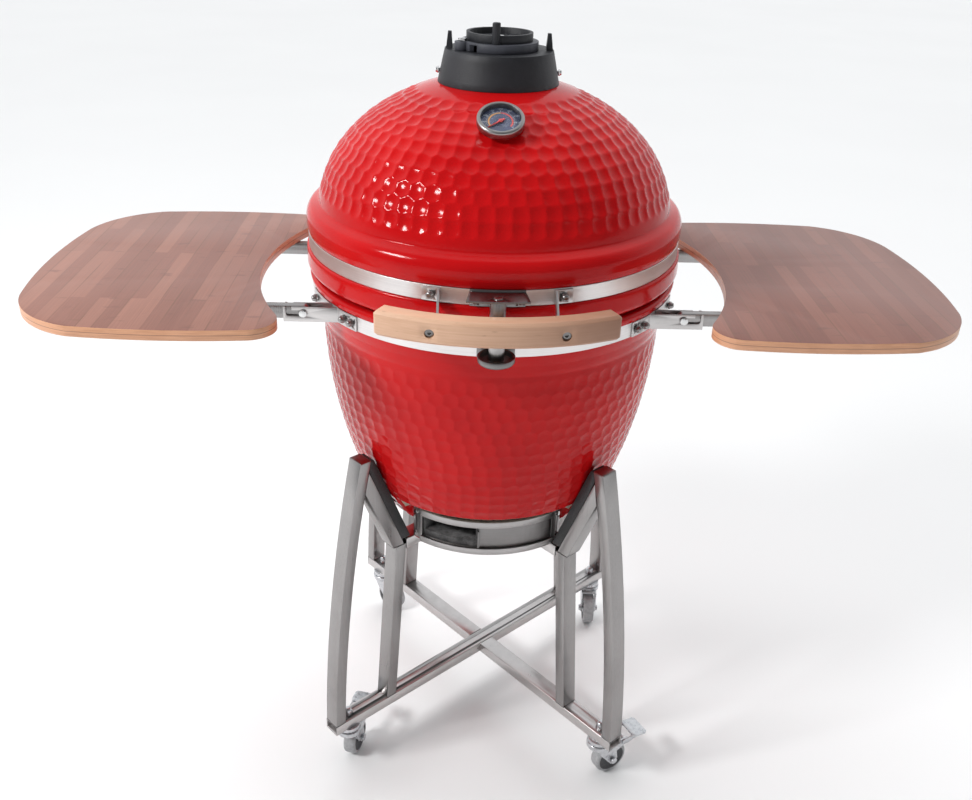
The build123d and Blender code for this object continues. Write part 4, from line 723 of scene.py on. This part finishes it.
# ---------------------------------------------------------------- carried-over CAD nodes
NODE_MATERIAL = {
    "latch_bracket": "shaded_steel", "handle_brackets": "level_steel", "shelf_brackets": "level_steel",
    "stand_base_cross": "level_steel", "stand_top_cross": "level_steel", "draft_frame": "frame_steel",
    "draft_door": "door_steel", "latch_cup": "shaded_steel", "latch_barrel": "frame_steel",
    "vent_cap": "cap_iron_painted_light", "right_shelf_board": "bamboo_board_painted_shade",
}
SOFT_WIDTH = {                    # millimetres
    "stand_legs": 2.2, "stand_posts": 2.2, "stand_struts": 2.0,
    "stand_base_cross": 2.2, "stand_top_cross": 2.0, "stand_pads": 1.5,
    "handle_bar": 1.6, "right_shelf_arms": 1.2, "left_shelf_arms": 1.2,
    "right_shelf_board": 2.4, "left_shelf_board": 2.4,
}
FINE_WIDTH = 0.45


def dress_nodes():
    """Give every CAD node its material and soft edges."""
    for name, piece in NODES.items():
        piece.data.materials.clear()
        piece.data.materials.append(MATERIALS[NODE_MATERIAL.get(name, SLOT_OF_NODE[name])])
        weld = piece.modifiers.new("weld", "WELD")
        weld.merge_threshold = 0.00002
        piece.data.polygons.foreach_set("use_smooth", [True] * len(piece.data.polygons))
        soften(piece, SOFT_WIDTH.get(name, FINE_WIDTH) * MM)
    for name in ("right_shelf_board", "left_shelf_board"):
        paint_sides(NODES[name].data)
    darken_handle_bolts(NODES["lid_fasteners"].data)


def darken_handle_bolts(mesh):
    """The bolt heads lie deep in the handle, so they get the shaded steel, a painted shade of their recesses,
    unlike the bright nuts.
    """
    handle_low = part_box("handle_bar")[0]
    mesh.materials.append(MATERIALS["shaded_steel"])
    for polygon in mesh.polygons:
        if polygon.center.y < handle_low[1] + 30 * MM:
            polygon.material_index = 1


def paint_sides(mesh):
    """The sides of a board show its plies."""
    mesh.materials.append(MATERIALS["bamboo_edge"])
    for polygon in mesh.polygons:
        if abs(polygon.normal.z) < 0.5:
            polygon.material_index = 1


# ---------------------------------------------------------------- thermometer dial
DIAL_SCALE_DEG = 250
DIAL_TICKS = 40
DIAL_NUMBERS = 8
DIAL_ARC_R = 16.5 * MM
DIAL_ARC_WIDTH = 2.2 * MM
DIAL_TICK_R = 17.3 * MM
DIAL_NUMBER_R = 22.6 * MM


def dial_frame():
    """Matrix that puts drawings on the dial's face: X to the right, Y up the dome, Z out of the dial."""
    low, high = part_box("thermometer_dial")
    centre = (Vector(low) + Vector(high)) / 2
    glass_low, glass_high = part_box("thermometer_glass")
    outward = ((Vector(glass_low) + Vector(glass_high)) / 2 - centre).normalized()
    across = Vector((1, 0, 0))
    up = outward.cross(across)
    return Matrix.Translation(centre) @ Matrix((across, up, outward)).transposed().to_4x4()


def dial_arc(name, radius, width, from_deg, to_deg, material, place):
    """Flat painted arc on the dial; 0 degrees is up, clockwise."""
    steps = 40
    mesh = bmesh.new()
    pairs = []
    for k in range(steps + 1):
        a = math.radians(90 - (from_deg + (to_deg - from_deg) * k / steps))
        across = [(r * math.cos(a), r * math.sin(a), 0) for r in (radius - width, radius)]
        pairs.append([mesh.verts.new(point) for point in across])
    for first, second in zip(pairs, pairs[1:]):
        mesh.faces.new((first[0], first[1], second[1], second[0]))
    finish_dial_piece(name, mesh, material, place)


def finish_dial_piece(name, mesh, material, place):
    mesh.transform(place)
    data = bpy.data.meshes.new(name)
    mesh.to_mesh(data)
    mesh.free()
    add_piece(name, data, "lid", "dial_face", material, smooth=False)


def build_dial():
    """Two painted arcs, ticks and the numbers from 0 to 400."""
    place = dial_frame() @ Matrix.Translation((0, 0, 0.8 * MM))
    half_scale = DIAL_SCALE_DEG / 2
    dial_arc("dial_arc_warm", DIAL_ARC_R, DIAL_ARC_WIDTH, -half_scale, 0, "dial_warm", place)
    dial_arc("dial_arc_hot", DIAL_ARC_R, DIAL_ARC_WIDTH, 2, half_scale, "dial_hot", place)
    ticks = bmesh.new()
    for k in range(DIAL_TICKS + 1):
        long_tick = k % 5 == 0
        length = (3.2 if long_tick else 1.6) * MM
        width = (0.7 if long_tick else 0.35) * MM
        turn = Matrix.Rotation(math.radians(half_scale - DIAL_SCALE_DEG * k / DIAL_TICKS), 4, "Z")
        inner, outer = DIAL_TICK_R, DIAL_TICK_R + length
        corners = ((-width / 2, inner), (width / 2, inner), (width / 2, outer), (-width / 2, outer))
        ticks.faces.new([ticks.verts.new(turn @ Vector((dx, dy, 0))) for dx, dy in corners])
    finish_dial_piece("dial_ticks", ticks, "dial_mark", place)
    for k in range(DIAL_NUMBERS + 1):
        angle = math.radians(half_scale - DIAL_SCALE_DEG * k / DIAL_NUMBERS)
        text = bpy.data.curves.new(f"dial_number_{k}", "FONT")
        text.body = str(50 * k)
        text.size = 4.0 * MM
        text.align_x = "CENTER"
        text.align_y = "CENTER"
        number = bpy.data.objects.new(f"dial_number_{k}", text)
        bpy.context.scene.collection.objects.link(number)
        text.materials.append(MATERIALS["dial_mark"])
        spot = (-DIAL_NUMBER_R * math.sin(angle), DIAL_NUMBER_R * math.cos(angle), 0)
        number.matrix_world = place @ Matrix.Translation(spot)
        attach(number, "lid")


# ---------------------------------------------------------------- casters
def build_wheel(corner):
    """Grey tyre with a rounded tread, dark dished sides and a hub, in place of the plain CAD wheel."""
    node = f"caster_wheel_{corner}"
    low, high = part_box(node)
    centre = (Vector(low) + Vector(high)) / 2
    radius = (high[2] - low[2]) / 2
    joint = next(j for j in frame["joints"] if j["name"] == f"roll_{corner}")
    axis = Vector(joint["axis"]).normalized()
    half = 11 * MM
    tread = arc_points((radius - 5 * MM, half - 5 * MM), 5 * MM, 0, 70, 8)
    tread = [(r, -z) for r, z in reversed(tread)] + tread
    dish = [(radius - 6 * MM, half - 0.2 * MM), (radius - 8.5 * MM, half - 1.8 * MM)]
    dish += [(11 * MM, half - 2.6 * MM)]
    hub = [(9.5 * MM, half - 0.6 * MM), (8.5 * MM, half + 0.4 * MM), (3.7 * MM, half + 0.4 * MM)]
    side = dish + hub
    profile = [(r, -z) for r, z in reversed(side)] + tread + side
    wheel = grid_mesh(node + "_tyre", spin(profile, 96))
    upright = Vector((0, 0, 1)).rotation_difference(axis).to_matrix().to_4x4()
    wheel.transform(Matrix.Translation(centre) @ upright)
    wheel.materials.append(MATERIALS["wheel_tread"])
    wheel.materials.append(MATERIALS["wheel_side"])
    wheel.materials.append(MATERIALS["zinc_plate"])
    for polygon in wheel.polygons:
        offset = polygon.center - centre
        across = abs(offset.dot(axis))
        out = (offset - axis * offset.dot(axis)).length
        if out < 9.2 * MM:
            polygon.material_index = 2
        elif out < radius - 5.5 * MM and across > half - 4 * MM:
            polygon.material_index = 1
    piece = add_piece(node + "_tyre", wheel, f"wheel_{corner}", "wheel_tread")
    soften(piece, 0.4 * MM)
    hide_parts(node)


# ---------------------------------------------------------------- stage
def build_stage():
    bpy.ops.mesh.primitive_plane_add(size=60, location=(0, 0, -0.0005))
    floor = bpy.context.object
    floor.name = "floor"
    floor.data.materials.append(floor_paint())


def area_light(name, place, aim, size, power):
    data = bpy.data.lights.new(name, "AREA")
    data.shape = "RECTANGLE"
    data.size, data.size_y = size
    data.energy = power
    light = bpy.data.objects.new(name, data)
    bpy.context.scene.collection.objects.link(light)
    light.location = place
    light.rotation_euler = (Vector(aim) - Vector(place)).to_track_quat("-Z", "Y").to_euler()


ROOM_STRENGTH = 0.22              # the dim studio in front of the grill
BACKDROP_STRENGTH = 1.0           # the white sweep behind it


def build_light():
    """A white backdrop behind, a dim room in front, a broad light overhead, a soft box at the front left."""
    world = bpy.data.worlds.new("studio")
    bpy.context.scene.world = world
    world.use_nodes = True
    tree = world.node_tree
    direction = tree.nodes.new("ShaderNodeTexCoord")
    split = tree.nodes.new("ShaderNodeSeparateXYZ")
    depth = tree.nodes.new("ShaderNodeMapRange")
    depth.interpolation_type = "SMOOTHSTEP"
    depth.inputs["From Min"].default_value = -0.35
    depth.inputs["From Max"].default_value = 0.35
    depth.inputs["To Min"].default_value = ROOM_STRENGTH
    depth.inputs["To Max"].default_value = BACKDROP_STRENGTH
    tree.links.new(direction.outputs["Generated"], split.inputs["Vector"])
    tree.links.new(split.outputs["Y"], depth.inputs["Value"])
    background = tree.nodes["Background"]
    background.inputs["Color"].default_value = (0.96, 0.98, 1.0, 1)
    tree.links.new(depth.outputs["Result"], background.inputs["Strength"])
    overhead = bpy.data.lights.new("overhead", "SUN")
    overhead.energy = 1.5
    overhead.angle = math.radians(70)
    light = bpy.data.objects.new("overhead", overhead)
    bpy.context.scene.collection.objects.link(light)
    light.rotation_euler = (math.radians(-22), 0, 0)
    light.visible_glossy = False
    area_light("key", (-2.5, -1.25, 2.6), (0, 0, 0.9), (0.85, 0.45), 72)


CAMERA_PLACE = (-42.46 * MM, -1472.26 * MM, 1392.29 * MM)
CAMERA_TURN = (0.0272, -0.5053, 0.0312)       # yaw to the right, pitch up and roll, in radians


def build_camera():
    """Camera at the height and distance of a standing photographer in front of the grill."""
    data = bpy.data.cameras.new("camera")
    data.sensor_width = 36.0
    data.lens = 36.56
    data.shift_y = 0.0238
    camera = bpy.data.objects.new("camera", data)
    bpy.context.scene.collection.objects.link(camera)
    yaw, pitch, roll = CAMERA_TURN
    look = Vector((math.sin(yaw) * math.cos(pitch), math.cos(yaw) * math.cos(pitch), math.sin(pitch)))
    level = Vector((math.cos(yaw), -math.sin(yaw), 0))
    up = level.cross(look)
    right = level * math.cos(roll) + up * math.sin(roll)
    up = up * math.cos(roll) - level * math.sin(roll)
    turn = Matrix((right, up, -look)).transposed()
    camera.matrix_world = Matrix.Translation(CAMERA_PLACE) @ turn.to_4x4()
    bpy.context.scene.camera = camera


# ---------------------------------------------------------------- build
build_lid()
build_bowl()
build_band("lid_band_ring", "lid_band", "lid")
build_band("base_band_ring", "base_band", "stand")
dress_nodes()
build_dial()
for corner in ("front_left", "front_right", "rear_left", "rear_right"):
    build_wheel(corner)
build_stage()
build_light()
build_camera()
bpy.context.scene.view_settings.view_transform = "Standard"
